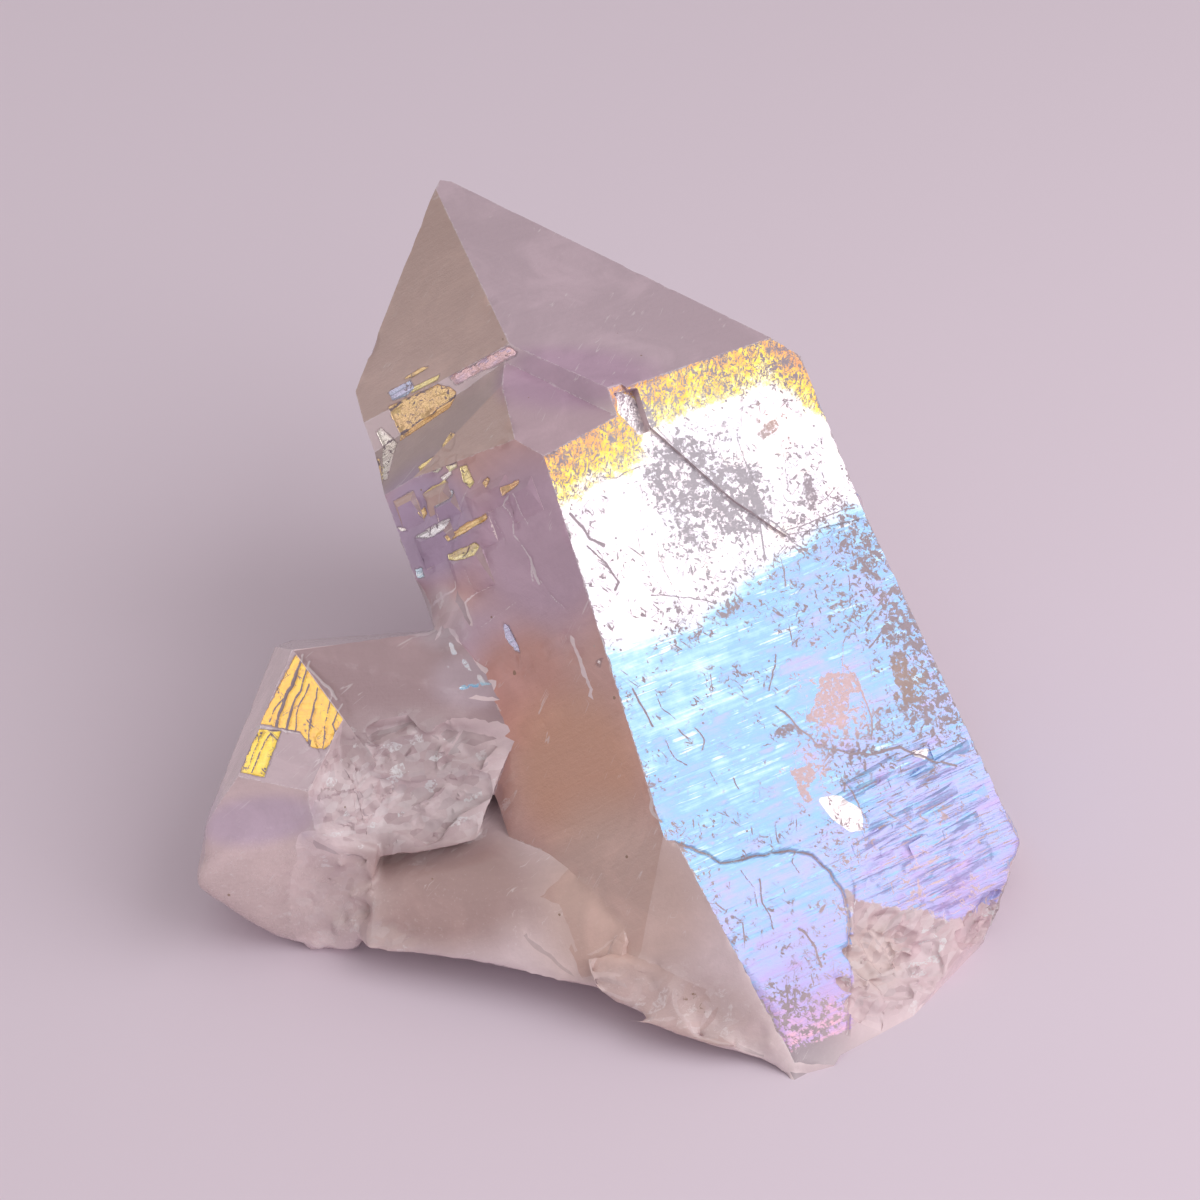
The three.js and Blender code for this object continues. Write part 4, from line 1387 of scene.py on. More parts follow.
    def _lace(self, wire: Wiring, grain: Grain, worn: Socket) -> Socket:
        """Fine noise below a level that rises with the painted wear."""
        level = wire.maths("MULTIPLY_ADD", worn, 0.33, 0.262)
        lace = wire.maths("SUBTRACT", wire.noise(grain.face, 2.3, 5.0, 0.66, 0.5), level)
        return wire.band(lace, self.crisp, -self.crisp)

    def _curls(self, wire: Wiring, grain: Grain, group: Socket) -> Socket:
        """Short bent lines: contours of slow noise, let through here and there by another."""
        curl = wire.noise(wire.turned(grain.face, 35.0, (1.0, 0.5, 1.0)), 1.5, 2.0, 0.5, 0.8)
        curl = wire.band(wire.maths("ABSOLUTE", wire.centred(curl)), *self.bent_line)
        gate = wire.band(wire.noise(wire.stretch(grain.face, (1.0, 1.0, 1.7)), 1.3, 2.0), 0.52, 0.57)
        return wire.both(curl, wire.band(group, 0.50, 0.59), gate)

    def _pits(self, wire: Wiring, grain: Grain, group: Socket) -> Socket:
        """Random dots of random sizes with ragged rims."""
        chance = wire.node("ShaderNodeSeparateColor")
        cells = self._cells(wire, grain.face, 2.1, chance)
        size = wire.maths("MULTIPLY", wire.band(chance.outputs[0], 0.50, 1.0), 0.20)
        reach = wire.maths("ADD", wire.centred(grain.stipple, 0.25), cells)
        pits = wire.band(wire.maths("SUBTRACT", reach, size), 0.02, -0.02)
        return wire.both(pits, wire.band(group, 0.42, 0.52))

    def _rubbed(self, wire: Wiring, grain: Grain) -> Socket:
        """Patches with painted outlines, made ragged and thinned by stipple."""
        rubbed = wire.band(wire.maths("ADD", wire.attribute("rub"), wire.centred(grain.rag, 1.6)), 0.47, 0.53)
        return wire.both(rubbed, wire.band(grain.stipple, 0.36, 0.50))

    def _combed(self, wire: Wiring, grain: Grain) -> Socket:
        """Streaks along the growth lines, below a level that rises with the painted combing."""
        level = wire.maths("MULTIPLY_ADD", wire.attribute("combed"), 0.28, 0.22)
        return wire.band(wire.maths("SUBTRACT", grain.comb, level), self.crisp, -self.crisp)

    def _crackle(self, wire: Wiring, grain: Grain) -> Socket:
        """A net of lines and small chips where the film order is amber to yellow."""
        net = wire.noise(wire.turned(grain.face, 56.0, (0.55, 1.3, 1.0)), 1.5, 4.0, 0.62, 1.2)
        net = wire.band(wire.maths("ABSOLUTE", wire.centred(net)), *self.bent_line)
        chips = wire.band(wire.noise(grain.face, 3.0, 4.0, 0.65), 0.405, 0.38)
        gold = wire.band(wire.attribute("film"), *self.gold_end)
        plain = wire.maths("MULTIPLY_ADD", wire.attribute("inlay"), -0.9, 1.0)
        return wire.both(wire.either(net, chips), gold, plain)

    def _scratch(self, wire: Wiring, face: Socket, angle: float, group: Socket) -> Socket:
        """Thin straight lines at one angle, where the wear gathers."""
        drawn = wire.noise(wire.turned(face, angle, (0.13, 2.2, 1.0)), 1.0, 1.0, 0.5)
        lines = wire.band(wire.maths("ABSOLUTE", wire.centred(drawn)), *self.straight_line)
        broken = wire.band(wire.noise(wire.turned(face, angle, (0.5, 1.6, 1.0)), 1.0, 1.0), 0.54, 0.60)
        return wire.both(lines, broken, wire.band(group, 0.53, 0.60))

    def _cells(self, wire: Wiring, face: Socket, scale: float, chance: bpy.types.Node) -> Socket:
        """Distance from the nearest random dot; the dot's own random numbers go to chance."""
        cells = wire.node("ShaderNodeTexVoronoi", feature="F1")
        wire.feed(cells.inputs["Vector"], face)
        cells.inputs["Scale"].default_value = scale
        wire.feed(chance.inputs[0], cells.outputs["Color"])
        return cells.outputs["Distance"]

    def _film_colour(self, wire: Wiring, grain: Grain) -> Socket:
        """The interference colour for the painted film order, shifted by clouds and streaks, with thin
        streaks moved towards white as painted glints and the shiny inlaid patches mixed towards a pale warm
        colour as a painted sheen.
        """
        order = wire.attribute("film")
        clouds = wire.noise(wire.stretch(grain.face, (0.7, 1.0, 1.0)), 0.6, 5.0, 0.62)
        plain = wire.maths("MULTIPLY_ADD", wire.attribute("inlay"), -0.75, 1.0)
        order = wire.maths("ADD", order, wire.both(wire.centred(clouds, 0.26), plain))
        mottle = wire.centred(wire.noise(grain.face, 1.5, 5.0, 0.7), 0.62)
        mottle = wire.both(mottle, wire.band(order, *self.cream_end), plain)
        least = wire.maths("MINIMUM", order, self.least_order)
        order = wire.maths("MAXIMUM", wire.maths("ADD", order, mottle), least)
        beyond_white = wire.band(order, *self.white_end)
        order = wire.maths("ADD", order, wire.both(wire.centred(grain.streaks, 0.28), beyond_white))
        # Painted glints: thin streaks moved towards the white film colour, partly the film's own streaking.
        bright = wire.both(wire.band(grain.streaks, 0.575, 0.60), wire.band(clouds, 0.62, 0.44), beyond_white)
        order = wire.maths("MULTIPLY_ADD", bright, -0.11, order)
        fine = wire.both(wire.band(grain.comb, 0.56, 0.62), wire.attribute("combed"), beyond_white)
        order = wire.maths("MULTIPLY_ADD", fine, -0.10, order)
        chip = wire.maths("ADD", wire.attribute("chip"), wire.centred(grain.rag, 0.5))
        order = wire.between(wire.band(chip, *self.chip_edge), order, self.chip_order)
        # Painted sheen on the shiny inlaid patches.
        shiny = wire.band(wire.attribute("sheen"), 0.70, 0.95)
        painted_tile_sheen = wire.both(wire.attribute("inlay"), shiny, self.tile_sheen_share)
        return wire.mix(painted_tile_sheen, wire.ramp(order, FILM_COLOURS), self.tile_painted_sheen)

    def _body_colour(self, wire: Wiring, grain: Grain, line: Socket) -> Socket:
        """The painted stone colour with veils, pale marks with painted edge highlights and sparkle, broken
        flakes with painted shade and glints, dark seams, dust and dirt.
        """
        bare = wire.band(wire.attribute("coat"), 0.5, 0.3)
        body = wire.mix(self._pale_marks_and_highlights(wire, grain, line, bare), self._veiled(wire, grain), self.pale)
        body = self._crazed_with_painted_glints(wire, grain, body)
        body = wire.mix(self._seams(wire, grain), body, self.crevice)
        chance = wire.node("ShaderNodeSeparateColor")
        cells = self._cells(wire, grain.face, 0.55, chance)
        size = wire.maths("MULTIPLY", wire.band(chance.outputs[0], 0.70, 1.0), 0.075)
        dots = wire.both(wire.band(wire.maths("SUBTRACT", cells, size), 0.01, -0.01), bare, 0.8)
        dust = wire.both(dots, wire.band(chance.outputs[1], 0.45, 0.50))
        body = wire.mix(dust, body, self.pale)
        stain = wire.maths("ADD", wire.attribute("stain"), wire.centred(grain.stipple, 1.6))
        stain = wire.both(wire.band(stain, 0.62, 0.85), 0.85)
        return wire.mix(wire.either(wire.maths("SUBTRACT", dots, dust), stain), body, self.dirt)

    def _veiled(self, wire: Wiring, grain: Grain) -> Socket:
        """The painted colour, darker and lighter by clouds through the whole stone."""
        place = wire.stretch(wire.node("ShaderNodeTexCoord").outputs["Object"], (1.0 / METRES,) * 3)
        veil = wire.band(wire.noise(place, 0.16, 5.0, 0.6, 0.8), 0.42, 0.72)
        shade = wire.maths("MULTIPLY_ADD", veil, 0.16, 0.88)
        shade = wire.maths("MULTIPLY_ADD", grain.stipple, 0.07, shade)
        shade = wire.maths("ADD", shade, wire.centred(grain.streaks, 0.07))
        grey = wire.node("ShaderNodeCombineColor")
        for part in range(3):
            wire.feed(grey.inputs[part], shade)
        made = wire.node("ShaderNodeMix", data_type="RGBA", blend_type="MULTIPLY")
        made.inputs[0].default_value = 1.0
        wire.feed(made.inputs[6], wire.attribute("body", "Color"))
        wire.feed(made.inputs[7], grey.outputs[0])
        return made.outputs[2]

    def _pale_marks_and_highlights(self, wire: Wiring, grain: Grain, line: Socket, bare: Socket) -> Socket:
        """Painted edge highlights along sharp sides, pale cracks and fine scratches on bare stone, and
        painted sparkle where it is frosted.
        """
        # Painted edge highlights: the stone made pale close to its sharp sides.
        rim = wire.maths("ADD", wire.attribute("rim"), wire.centred(grain.rag, 0.5))
        rims = wire.both(wire.band(rim, *self.rim_line), wire.band(grain.stipple, 0.44, 0.56), 0.40)
        # Painted sparkle: pale specks on frosted stone.
        sparkle = wire.both(wire.band(grain.stipple, 0.60, 0.68), wire.attribute("frost"), 0.55)
        fine = self._scratch(wire, grain.face, self.flaw_angle, wire.noise(grain.face, 0.4, 2.0))
        return wire.either(rims, wire.both(line, bare, 0.60), sparkle, wire.both(fine, bare, 0.40))

    def _seams(self, wire: Wiring, grain: Grain) -> Socket:
        """Dark lines round the inlaid patches, and the dark stone that shows through their wear."""
        inlay = wire.attribute("inlay")
        coat = wire.maths("ADD", wire.attribute("coat"), wire.centred(grain.rag, 0.5))
        around = wire.both(wire.band(coat, 0.18, 0.36), wire.band(coat, 0.60, 0.45), inlay)
        seam = wire.both(around, wire.band(grain.rag, 0.44, 0.56), 0.50)
        return wire.either(seam, wire.both(inlay, wire.band(coat, 0.45, 0.60), 0.85))

    def _crazed_with_painted_glints(self, wire: Wiring, grain: Grain, body: Socket) -> Socket:
        """Small straight-edged flakes in broken places, painted darker and lighter as shade and highlights on
        tilted facets, and a few painted as white glints.
        """
        crazed = wire.attribute("crazed")
        chance = wire.node("ShaderNodeSeparateColor")
        self._cells(wire, wire.turned(grain.face, 28.0, (0.7, 1.8, 1.5)), 1.15, chance)
        # Painted shade on some flakes, painted highlights on others, and a few white cells as painted glints.
        dark = wire.both(wire.band(chance.outputs[0], 0.55, 0.0), crazed, self.flake_shade_share)
        light = wire.both(wire.band(chance.outputs[1], 0.50, 1.0), crazed, self.flake_highlight_share)
        white = wire.band(chance.outputs[2], 0.94, 0.945)
        white = wire.both(white, wire.band(grain.stipple, 0.40, 0.56), crazed)
        body = wire.mix(dark, body, self.flake_painted_shade)
        return wire.mix(wire.either(light, white), body, self.painted_glint)


# ------------------------------------------------------------------ the stone


@dataclass
class QuartzCluster:
    """The dressed stone: two joined crystals grown from one milky foot.

    Lengths are millimetres and areas square millimetres. Shells and flakes are rows of size,
    depth and seed. The film tables pair a depth or a level on the bright face with a film order.
    """

    name: str = "quartz_crystals"
    size: SizeField = field(default_factory=lambda: SizeField(rough=SHATTERED, fine=FINE))
    stages: tuple[float, ...] = (4.0, 2.0, 1.0)
    soften_rounds: int = 30
    blunt_rounds: int = 5
    ease_rounds: int = 160
    shells: tuple[tuple[float, float, int], ...] = ((3.0, 0.14, 301),)
    flakes: tuple[tuple[float, float, int], ...] = ((1.9, 0.30, 401), (0.95, 0.10, 402))
    ridge_spacing: float = 1.3
    crack_blur: float = 0.05
    inlay_depth: float = 0.05
    ridge: float = 0.055
    nick: float = 0.30
    sharp_angle: float = 30.0
    # Painted glow: the colour and share that pale the stone near the floor, as light shining through its low
    # rim.
    painted_low_glow: Colour = (0.92, 0.80, 0.82)
    low_glow_share: float = 0.35
    plain_clearness: float = 0.16
    least_wear: float = 0.08
    patch_wear: float = 0.12
    stain_share: float = 0.70
    pattern_step: float = 11.0
    rim_bend: float = 32.0
    rim_area: float = 18.0
    tile_sheen: float = 1.7
    gilt_sheen: float = 0.6
    gold_depths: tuple[float, ...] = (0.0, 0.5, 2.0, 3.4, 4.4)
    gold_orders: tuple[float, ...] = (0.03, 0.12, 0.19, 0.30, 0.46)
    white_across: tuple[float, ...] = (-11.0, -3.5, 4.5, 12.0)
    white_ends: tuple[float, ...] = (8.9, 8.7, 11.0, 13.0)
    film_levels: tuple[float, ...] = (-33.0, -30.5, -28.5, -26.5, -22.0, -14.0, -1.2, 0.6)
    film_orders: tuple[float, ...] = (0.98, 0.92, 0.84, 0.77, 0.71, 0.66, 0.61, 0.47)
    small_area: float = 0.8
    minor_area: float = 14.0
    minor_depth: float = 1.5
    ledge_depth: float = 1.7

    def build(self, source: bpy.types.Object) -> bpy.types.Object:
        """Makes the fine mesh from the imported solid, paints it and works its surface.

        Args:
            source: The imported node. It is copied and left as it is.

        Returns:
            The finished object, at the origin, with its place in its mesh.
        """
        stone = FineMesh.from_object(source)
        stone.flip(20)
        for stage in self.stages:
            stone.refine(replace(self.size, scale=stage))
            stone.flip(10)
            stone.relax(3)
        stone.flip(6)
        faces = self.name_faces(stone)
        painted = self.paint(stone, faces)
        self.work(stone, faces)
        made = self._to_object(stone)
        for key, values in painted.items():
            self._store(made.data, key, values)
        count = len(stone.triangles)
        LOG.info("%s: %d triangles, %d flat faces", self.name, count, stone.label.max() + 1)
        return made

    def name_faces(self, stone: FineMesh) -> Index:
        """The Face of every triangle, decided once for each flat face of the solid.

        Args:
            stone: The labelled mesh, before its surface is worked.

        Returns:
            A Face number per triangle.
        """
        normals = stone.label_normals()
        double = np.linalg.norm(stone.normals(), axis=1)
        total = np.bincount(stone.label, double)
        sums = [np.bincount(stone.label, double * stone.middles()[:, k]) for k in range(3)]
        centre = np.stack([each / total for each in sums], axis=1)
        area = total / 2
        named = np.full(len(normals), int(Face.BREAK))
        named[(normals[:, 1] > 0.2) | (normals[:, 2] < -0.25) | (normals[:, 0] < -0.9)] = Face.BACK
        for facet in FACETS:
            named[facet.holds(normals, centre)] = facet.face
        named[(normals[:, 2] < -0.99) & (centre[:, 2] < 0.1)] = Face.REST
        named[(area < self.small_area) & (named == Face.BACK)] = Face.BREAK
        self._join_minor(named, normals, centre, area)
        return named[stone.label]

    def _join_minor(self, named: Index, normals: Array, centre: Array, area: Array) -> None:
        """Gives small unnamed faces close to a large face's plane that face's name.

        Args:
            named: The Face of each flat face. It is changed.
            normals: Their unit normals.
            centre: Their middles.
            area: Their areas.
        """
        whole = strongest(SHATTERED, centre) <= 0.3
        upper = (centre[:, 2] > 17.5) | (centre[:, 0] > -6.5)
        for facet in (TIP_RIGHT, TIP_LEFT, MATT, RIGHT):
            close = (np.abs(facet.height(centre)) < self.minor_depth) & (normals @ facet.axes()[2] > 0.0)
            named[(named == Face.BREAK) & (area < self.minor_area) & close & upper & whole] = facet.face
        across, up = BRIGHT.flat(centre).T
        ledge = (np.abs(BRIGHT.height(centre)) < self.ledge_depth) & (across > 0.5)
        named[(named == Face.BREAK) & ledge & (up < -2.5) & (up > -18.0)] = Face.BRIGHT

    def paint(self, stone: FineMesh, faces: Index) -> dict[str, Array]:
        """Works out the values that the finish reads, at every triangle corner.

        Args:
            stone: The mesh before its surface is worked, so that patterns lie on true planes.
            faces: The Face of every triangle.

        Returns:
            Arrays by attribute name: one number, three (a place) or four (a colour) per corner.
        """
        corner = stone.triangles.reshape(-1)
        face = np.repeat(faces, 3)
        bright = face == Face.BRIGHT
        film, coat, sheen, inlay = self._film(stone, faces)
        astray = wander(stone.points)
        ratio = np.min([crack.gap(astray) / crack.width for crack in CRACKS], axis=0)
        rim = stone.rim_gap(bend=self.rim_bend, least_area=self.rim_area)[corner]
        crazed = amount_at(CRAZED, stone.points)[corner]
        softened = amount_at(SOFTENED, stone.points)[corner]
        clear = np.array([CLEARNESS.get(Face(k), self.plain_clearness) for k in range(len(Face))])[face]
        worn = np.select([bright, coat > 0.0], [amount_at(WORN, stone.points)[corner], self.patch_wear], 0.0)
        return {
            "face_place": self._face_places(stone.points[corner], face),
            "body": self._body(stone.points, corner, face),
            "film": film,
            "coat": coat,
            "sheen": sheen,
            "inlay": inlay,
            "rub": np.where(bright, self._patches(RUBBED, stone)[corner], 0.0),
            "chip": np.where(bright, self._patches(CHIPS, stone)[corner], 0.0),
            "worn": np.maximum(worn, np.where(bright, self.least_wear, 0.0)),
            "combed": np.where(bright, amount_at(COMBED, stone.points)[corner], 0.0),
            "mark": np.clip(1.0 - ratio / 4.0, 0.0, 1.0)[corner],
            "rim": np.minimum(rim, 3.0),
            "frost": np.clip(softened - 0.5 * crazed, 0.0, 1.0),
            "crazed": np.where(coat > 0.6, 0.0, crazed),
            "clear": np.where(face == Face.REST, 0.0, clear + 0.15 * crazed - 0.10 * softened),
            "stain": self.stain_share * strongest(STAINS, stone.points)[corner],
        }

    def _face_places(self, points: Array, face: Index) -> Array:
        """Pattern places: (across, up) on a named face and a step of its own, else the point itself."""
        place = points.copy()
        for facet in FACETS:
            on = face == facet.face
            flat = facet.flat(points[on])
            place[on] = np.column_stack([flat, np.full(len(flat), self.pattern_step * facet.face)])
        return place

    def _body(self, points: Array, corner: Index, face: Index) -> Array:
        """The stone's colour at each corner: its face's, then each wash in turn (one of them painted shade in
        the hollow between the crystals), then a painted glow that pales the stone near the floor.
        """
        body = np.array([BODY[Face(k)] for k in range(len(Face))])[face]
        for wash in WASHES:
            share = wash.strength * wash.region.weight(points)[corner, None]
            if wash.faces:
                share = share * np.isin(face, wash.faces)[:, None]
            body = body + (np.array(wash.colour) - body) * share
        # Painted glow: paler within 2 mm of the floor.
        low = self.low_glow_share * ease(2.0, 0.2, points[corner, 2])[:, None]
        body = body + (np.array(self.painted_low_glow) - body) * low
        return np.column_stack([body, np.ones(len(body))])

    @staticmethod
    def _patches(tiles: tuple[Tile, ...], stone: FineMesh) -> Array:
        """The deepest cover that any of the patches gives each point."""
        return np.max([tile.cover(stone.points) for tile in tiles], axis=0)

    def _film(self, stone: FineMesh, faces: Index) -> tuple[Array, Array, Array, Array]:
        """Film order, cover and shine at each corner.

        On the right side and the back a slow cloud sets the order, and the film shows in
        patches. The other faces are bare but for their inlaid patches.

        Args:
            stone: The mesh before its surface is worked.
            faces: The Face of every triangle.

        Returns:
            Order from 0 (amber) to 1 (rose), cover with its rim at 0.5, shine, and how strong a
            dark line runs round an inlaid patch.
        """
        corner = stone.triangles.reshape(-1)
        points = stone.points[corner]
        face = np.repeat(faces, 3)
        on = face == Face.BRIGHT
        across, up = BRIGHT.flat(points).T
        order = 0.72 + 0.20 * cloud(stone.points, 14.0, 71)[corner]
        film = np.where(on, self._bright_order(across, up), order)
        low = (points[:, 2] < 2.5) | (points[:, 1] < -8.0)
        under = low | np.repeat(unit(stone.normals())[:, 2] < -0.1, 3)
        right = 0.62 + 0.25 * cloud(stone.points, 9.0, 5)[corner]
        behind = 0.30 + 0.35 * cloud(stone.points, 10.0, 9)[corner]
        bare = -0.5
        coat = np.select([face == Face.RIGHT, (face == Face.BACK) & ~under], [right, behind], bare)
        fading = 1.4 - 1.6 * ease(-20.6, -24.2, up)
        coat = np.where(on, np.minimum(1.0 - CLEAR_BREAK.cover(points), fading), coat)
        sheen = np.where(on, 1.0 - 0.35 * ease(-10.0, -19.0, up), 0.7)
        inlay = np.zeros(len(points))
        best = np.full(len(points), -0.6)
        for tile in TILES:
            patch = tile.cover(stone.points)[corner]
            near = np.isin(face, TILE_FACES[tile.facet.face]) & (patch > best)
            best = np.where(near, patch, best)
            coat = np.where(near, patch, coat)
            film = np.where(near, tile.film, film)
            sheen = np.where(near, self.gilt_sheen if tile.facet is STUB_GILT else self.tile_sheen, sheen)
            inlay = np.where(near, tile.seam, inlay)
        return film, coat, sheen, inlay

    def _bright_order(self, across: Array, up: Array) -> Array:
        """The film order on the bright face.

        It follows the depth below the upper edges (gold, then white), then the height on the
        face (blue, periwinkle, lavender, rose). The upper edges are two level lines, with a step
        between them, and a falling one at the right corner.

        Args:
            across: Places across the face.
            up: Places up the face.

        Returns:
            One order per place.
        """
        left_edge = 24.4 + 0.19 * (across + 1.9)
        right_edge = 26.3 + 0.05 * (across + 2.2)
        corner_edge = 26.8 - 1.25 * (across - 10.0)
        crest = np.minimum(np.where(across < -1.9, left_edge, right_edge), corner_edge)
        below = np.maximum(crest - up, 0.0)
        gold = np.interp(below, self.gold_depths, self.gold_orders)
        level = up - np.interp(across, self.white_across, self.white_ends)
        level = level + (up - self.white_ends[1] - level) * ease(-5.0, -16.0, level)
        stem = np.interp(level, self.film_levels, self.film_orders)
        stem = stem + 0.05 * ease(0.0, -1.5, level) * ease(-3.0, 8.0, across)
        return np.where(below < self.gold_depths[-1], gold, stem)

    def work(self, stone: FineMesh, faces: Index) -> None:
        """Moves the points as growth, breaking and handling moved the real surface.

        Hollows are filled and milky lumps softened. Along the outward normal the surface then
        gets shells and flakes where it is broken, growth ridges on the bright face, sunk crack
        lines (a bell curve of the distance from the line), sunk inlaid patches and nicks (a
        cloud above a threshold, near sharp sides). Points on the resting face stay at its height.

        Args:
            stone: The mesh to change.
            faces: The Face of every triangle.
        """
        start = stone.points.copy()
        rest = start[:, 2] < FLOOR_BAND
        rim = stone.rim_gap()
        soft = amount_at(SOFTENED, start) * np.where(rest, ease(6.0, 3.0, start[:, 0]), 1.0)
        broken = strongest(SHATTERED, start) * ~rest
        for fill in FILLED:
            stone.points += fill.lift(stone.points)
        stone.smooth(np.maximum(soft, 0.8 * broken), self.blunt_rounds)
        stone.smooth(soft * (1.0 - broken), self.soften_rounds)
        stone.smooth(strongest(EASED, start) * ~rest, self.ease_rounds)
        stone.points[rest, 2] = start[rest, 2]
        bright = np.zeros(len(start), bool)
        bright[np.unique(stone.triangles[faces == Face.BRIGHT])] = True
        broken = broken * np.where(bright, ease(0.45, 0.95, CLEAR_BREAK.cover(start)), 1.0)
        lift = self._flaking(start, broken, rim)
        lift -= 0.04 * soft * cloud(start, 3.2, 8, 3)
        lift += self._growth(start) * bright
        astray = wander(start)
        for crack in CRACKS:
            lift -= crack.depth * np.exp(-((crack.gap(astray) / (crack.width + self.crack_blur)) ** 2))
        for tile in TILES:
            lift -= self.inlay_depth * ease(0.4, 0.9, tile.cover(start)) * tile.near(start)
        lift -= self.nick * np.maximum(cloud(start, 1.5, 55, 3) - 0.12, 0.0) * (1.0 - ease(0.0, 0.7, rim))
        lift[rest] = 0.0
        stone.points = stone.points + lift[:, None] * stone.point_normals()
        stone.points[~rest, 2] = np.maximum(stone.points[~rest, 2], FLOOR_BAND / 2)

    def _flaking(self, start: Array, broken: Array, rim: Array) -> Array:
        """Heights of shells and flakes in broken places, lower near sharp sides.

        Args:
            start: The points before any were moved.
            broken: How broken the stone is there, from 0 to 1.
            rim: Distance to the nearest sharp side.

        Returns:
            One height per point, from bowls and tilted flats on slanted and squashed points.
        """
        lift = np.zeros(len(start))
        there = broken > 0.01
        amount = (broken * (0.25 + 0.75 * ease(0.0, 0.6, rim)))[there]
        slanted = (start @ np.array([[1.0, 0.2, -0.5], [0.1, 0.8, 0.3], [0.5, 0.1, 0.9]]))[there]
        for kind, squash, layers in ((scallops, 0.7, self.shells), (shards, 0.6, self.flakes)):
            for size, depth, seed in layers:
                lift[there] += depth * amount * kind(slanted * (squash, 1.0, 1.0), size, seed)
        return lift

    def _growth(self, start: Array) -> Array:
        """Heights on the bright face: growth ridges at its lower right and slight waves all over.

        The ridges are a cosine of the height on the face, shifted by slow noise and made weaker
        and stronger by a cloud.
        """
        across, up = BRIGHT.flat(start).T
        shift = 2.2 * lattice_noise(np.column_stack([across / 6.0, up / 2.5, up * 0.0]), 21)
        wave = np.cos(up * 2.0 * np.pi / self.ridge_spacing + shift)
        where = ease(-1.0, 5.0, across) * ease(-2.0, -7.0, up)
        ridges = self.ridge * where * wave * (0.6 + 0.6 * cloud(start, 3.0, 31, 2))
        return ridges + 0.015 * cloud(start, 2.4, 41, 3)

    def dress(self, piece: bpy.types.Object, finish: AuraQuartz) -> None:
        """Puts the finish on the piece."""
        piece.data.materials.clear()
        piece.data.materials.append(finish.build())

    def _to_object(self, stone: FineMesh) -> bpy.types.Object:
        """A Blender object from the fine mesh, smooth except across sharp sides."""
        mesh = bpy.data.meshes.new(self.name)
        mesh.from_pydata((stone.points * METRES).tolist(), [], stone.triangles.tolist())
        mesh.validate()
        mesh.shade_smooth()
        mesh.set_sharp_from_angle(angle=np.radians(self.sharp_angle))
        made = bpy.data.objects.new(self.name, mesh)
        bpy.context.scene.collection.objects.link(made)
        return made

    @staticmethod
    def _store(mesh: bpy.types.Mesh, name: str, values: Array) -> None:
        """Writes an array on the mesh's corners as an attribute of fitting kind."""
        width = 1 if values.ndim == 1 else values.shape[1]
        kind, key = {1: ("FLOAT", "value"), 3: ("FLOAT_VECTOR", "vector"), 4: ("FLOAT_COLOR", "color")}[width]
        made = mesh.attributes.new(name, kind, "CORNER")
        made.data.foreach_set(key, values.astype(np.float32).reshape(-1))


# ------------------------------------------------------------------ studio


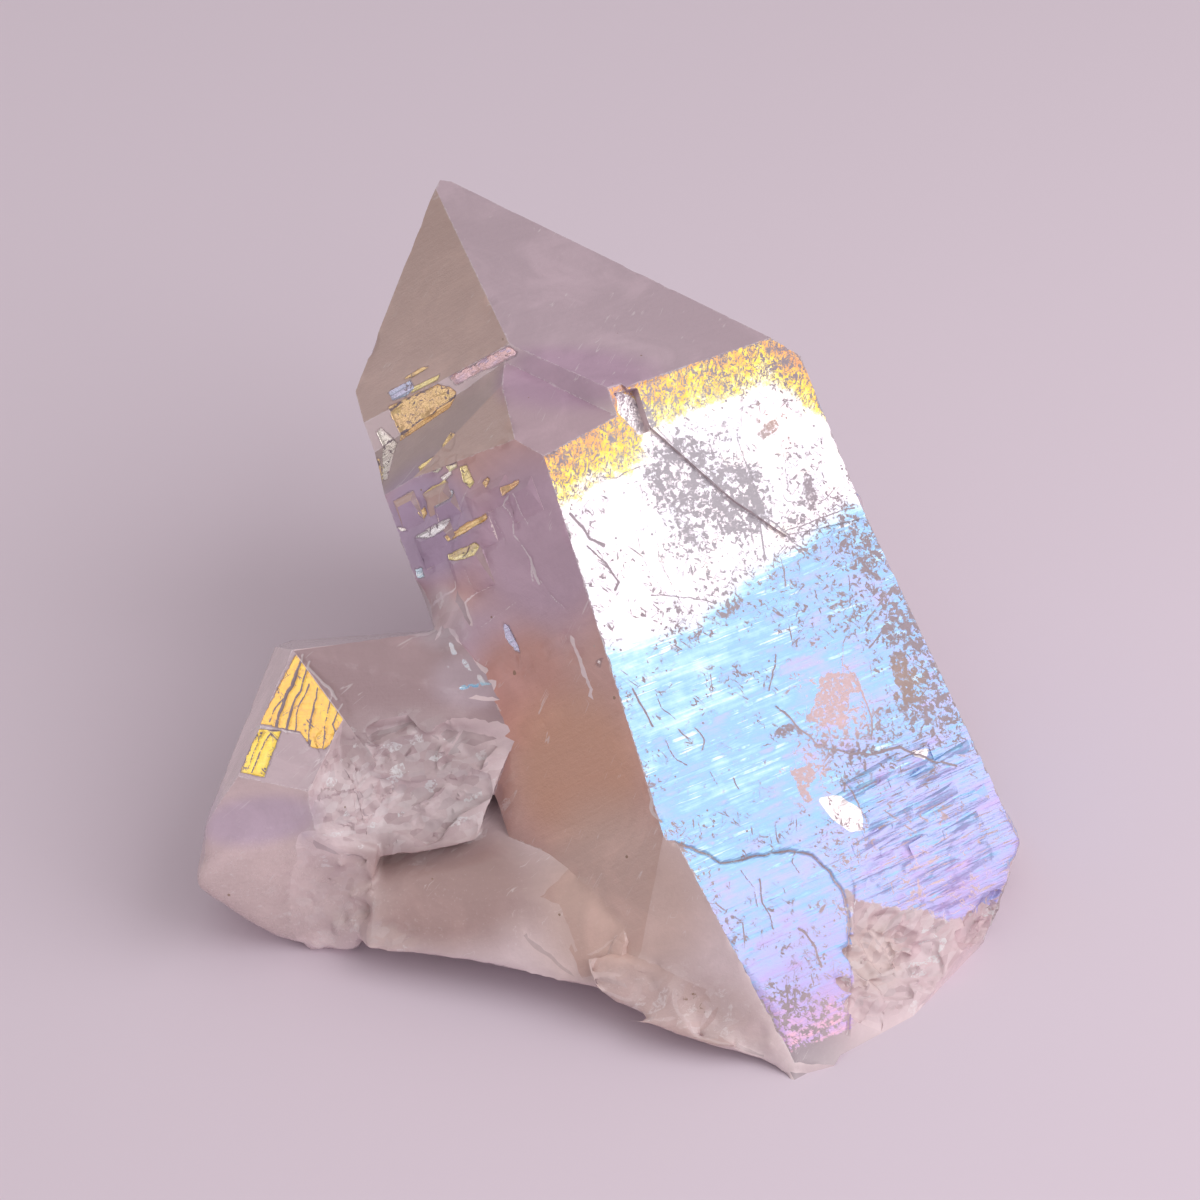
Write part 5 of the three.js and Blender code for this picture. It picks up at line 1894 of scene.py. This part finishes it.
@dataclass
class Studio:
    """A pale floor, soft light and the camera.

    The camera's places are millimetres. The floor's and the lights' are metres.
    """

    eye: Triple = (-0.723, -232.164, 199.7)
    aim: Triple = (-0.723, 4.236, 15.0)
    lens: float = 120.0
    sensor: float = 36.0
    floor_half: float = 3.0
    near: float = 0.01
    floor_colour: Colour = (0.75, 0.655, 0.74)
    floor_roughness: float = 0.85
    floor_shine: float = 0.2
    room_colour: Colour = (0.99, 0.94, 0.93)
    room_strength: float = 0.64
    room_low: float = 0.52
    room_lean: float = 0.35
    room_rise: Band = (0.05, 0.85)
    key_direction: Triple = (0.70, -0.18, 0.69)
    key_distance: float = 0.30
    key_size: float = 0.30
    key_power: float = 0.41
    light_colour: Colour = (1.0, 0.96, 1.0)
    fill_place: Triple = (0.16, -0.24, 0.17)
    fill_size: float = 0.20
    fill_power: float = 0.11
    side_places: tuple[Triple, ...] = ((-0.210, -0.085, 0.067), (-0.202, 0.122, 0.093))
    side_size: float = 0.09
    side_power: float = 0.022

    def build(self) -> None:
        """Makes the floor, the room's light, the large soft key light and the camera."""
        self._floor()
        self._room()
        self._lights()
        self._camera()

    def _floor(self) -> None:
        """A flat sheet at the resting height."""
        half = self.floor_half
        mesh = bpy.data.meshes.new("floor")
        corners = [(-half, -half, 0), (half, -half, 0), (half, half, 0), (-half, half, 0)]
        mesh.from_pydata(corners, [], [(0, 1, 2, 3)])
        floor = bpy.data.objects.new("floor", mesh)
        bpy.context.scene.collection.objects.link(floor)
        material = bpy.data.materials.new("pale_floor")
        material.use_nodes = True
        surface = material.node_tree.nodes["Principled BSDF"]
        surface.inputs["Base Color"].default_value = (*self.floor_colour, 1.0)
        surface.inputs["Roughness"].default_value = self.floor_roughness
        surface.inputs["Specular IOR Level"].default_value = self.floor_shine
        mesh.materials.append(material)

    def _room(self) -> None:
        """Light from all round, stronger from above and a little from the right than from below."""
        world = bpy.data.worlds.new("room")
        world.use_nodes = True
        background = world.node_tree.nodes["Background"]
        background.inputs["Color"].default_value = (*self.room_colour, 1.0)
        wire = Wiring(world.node_tree)
        height = wire.node("ShaderNodeSeparateXYZ")
        wire.feed(height.inputs[0], wire.node("ShaderNodeTexCoord").outputs["Generated"])
        rise = wire.maths("MULTIPLY_ADD", height.outputs["X"], self.room_lean, height.outputs["Z"])
        weakest = self.room_low * self.room_strength
        strength = wire.between(wire.band(rise, *self.room_rise), weakest, self.room_strength)
        wire.feed(background.inputs["Strength"], strength)
        bpy.context.scene.world = world
        bpy.context.scene.view_settings.view_transform = "Standard"

    def _lights(self) -> None:
        """A large light that the bright face mirrors to the camera, a weak one and two at the left."""
        place = Vector(self.key_direction).normalized() * self.key_distance
        self._light("key", place, self.key_size, self.key_power)
        self._light("fill", Vector(self.fill_place), self.fill_size, self.fill_power)
        for number, side in enumerate(self.side_places):
            self._light(f"side_{number}", Vector(side), self.side_size, self.side_power)

    def _light(self, name: str, place: Vector, size: float, power: float) -> None:
        """A square light that looks at the stone."""
        light = bpy.data.lights.new(name, "AREA")
        light.shape = "SQUARE"
        light.size = size
        light.energy = power
        light.color = self.light_colour
        lamp = bpy.data.objects.new(name, light)
        lamp.location = place
        lamp.rotation_euler = place.to_track_quat("Z", "Y").to_euler()
        bpy.context.scene.collection.objects.link(lamp)

    def _camera(self) -> None:
        """The camera, looking down at the stone from in front."""
        data = bpy.data.cameras.new("camera")
        data.lens = self.lens
        data.sensor_width = self.sensor
        data.clip_start = self.near
        camera = bpy.data.objects.new("camera", data)
        camera.location = Vector(self.eye) * METRES
        gaze = (Vector(self.eye) - Vector(self.aim)).normalized()
        camera.rotation_euler = gaze.to_track_quat("Z", "Y").to_euler()
        bpy.context.scene.collection.objects.link(camera)
        bpy.context.scene.camera = camera


def main() -> None:
    """Builds the studio and the stone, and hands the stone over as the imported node's looks."""
    logging.basicConfig(level=logging.INFO, format="%(name)s: %(message)s")
    Studio().build()
    cluster = QuartzCluster()
    piece = cluster.build(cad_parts[NODE])
    cluster.dress(piece, AuraQuartz())
    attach(piece, "root")
    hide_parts(NODE)


if __name__ == "__main__":
    main()
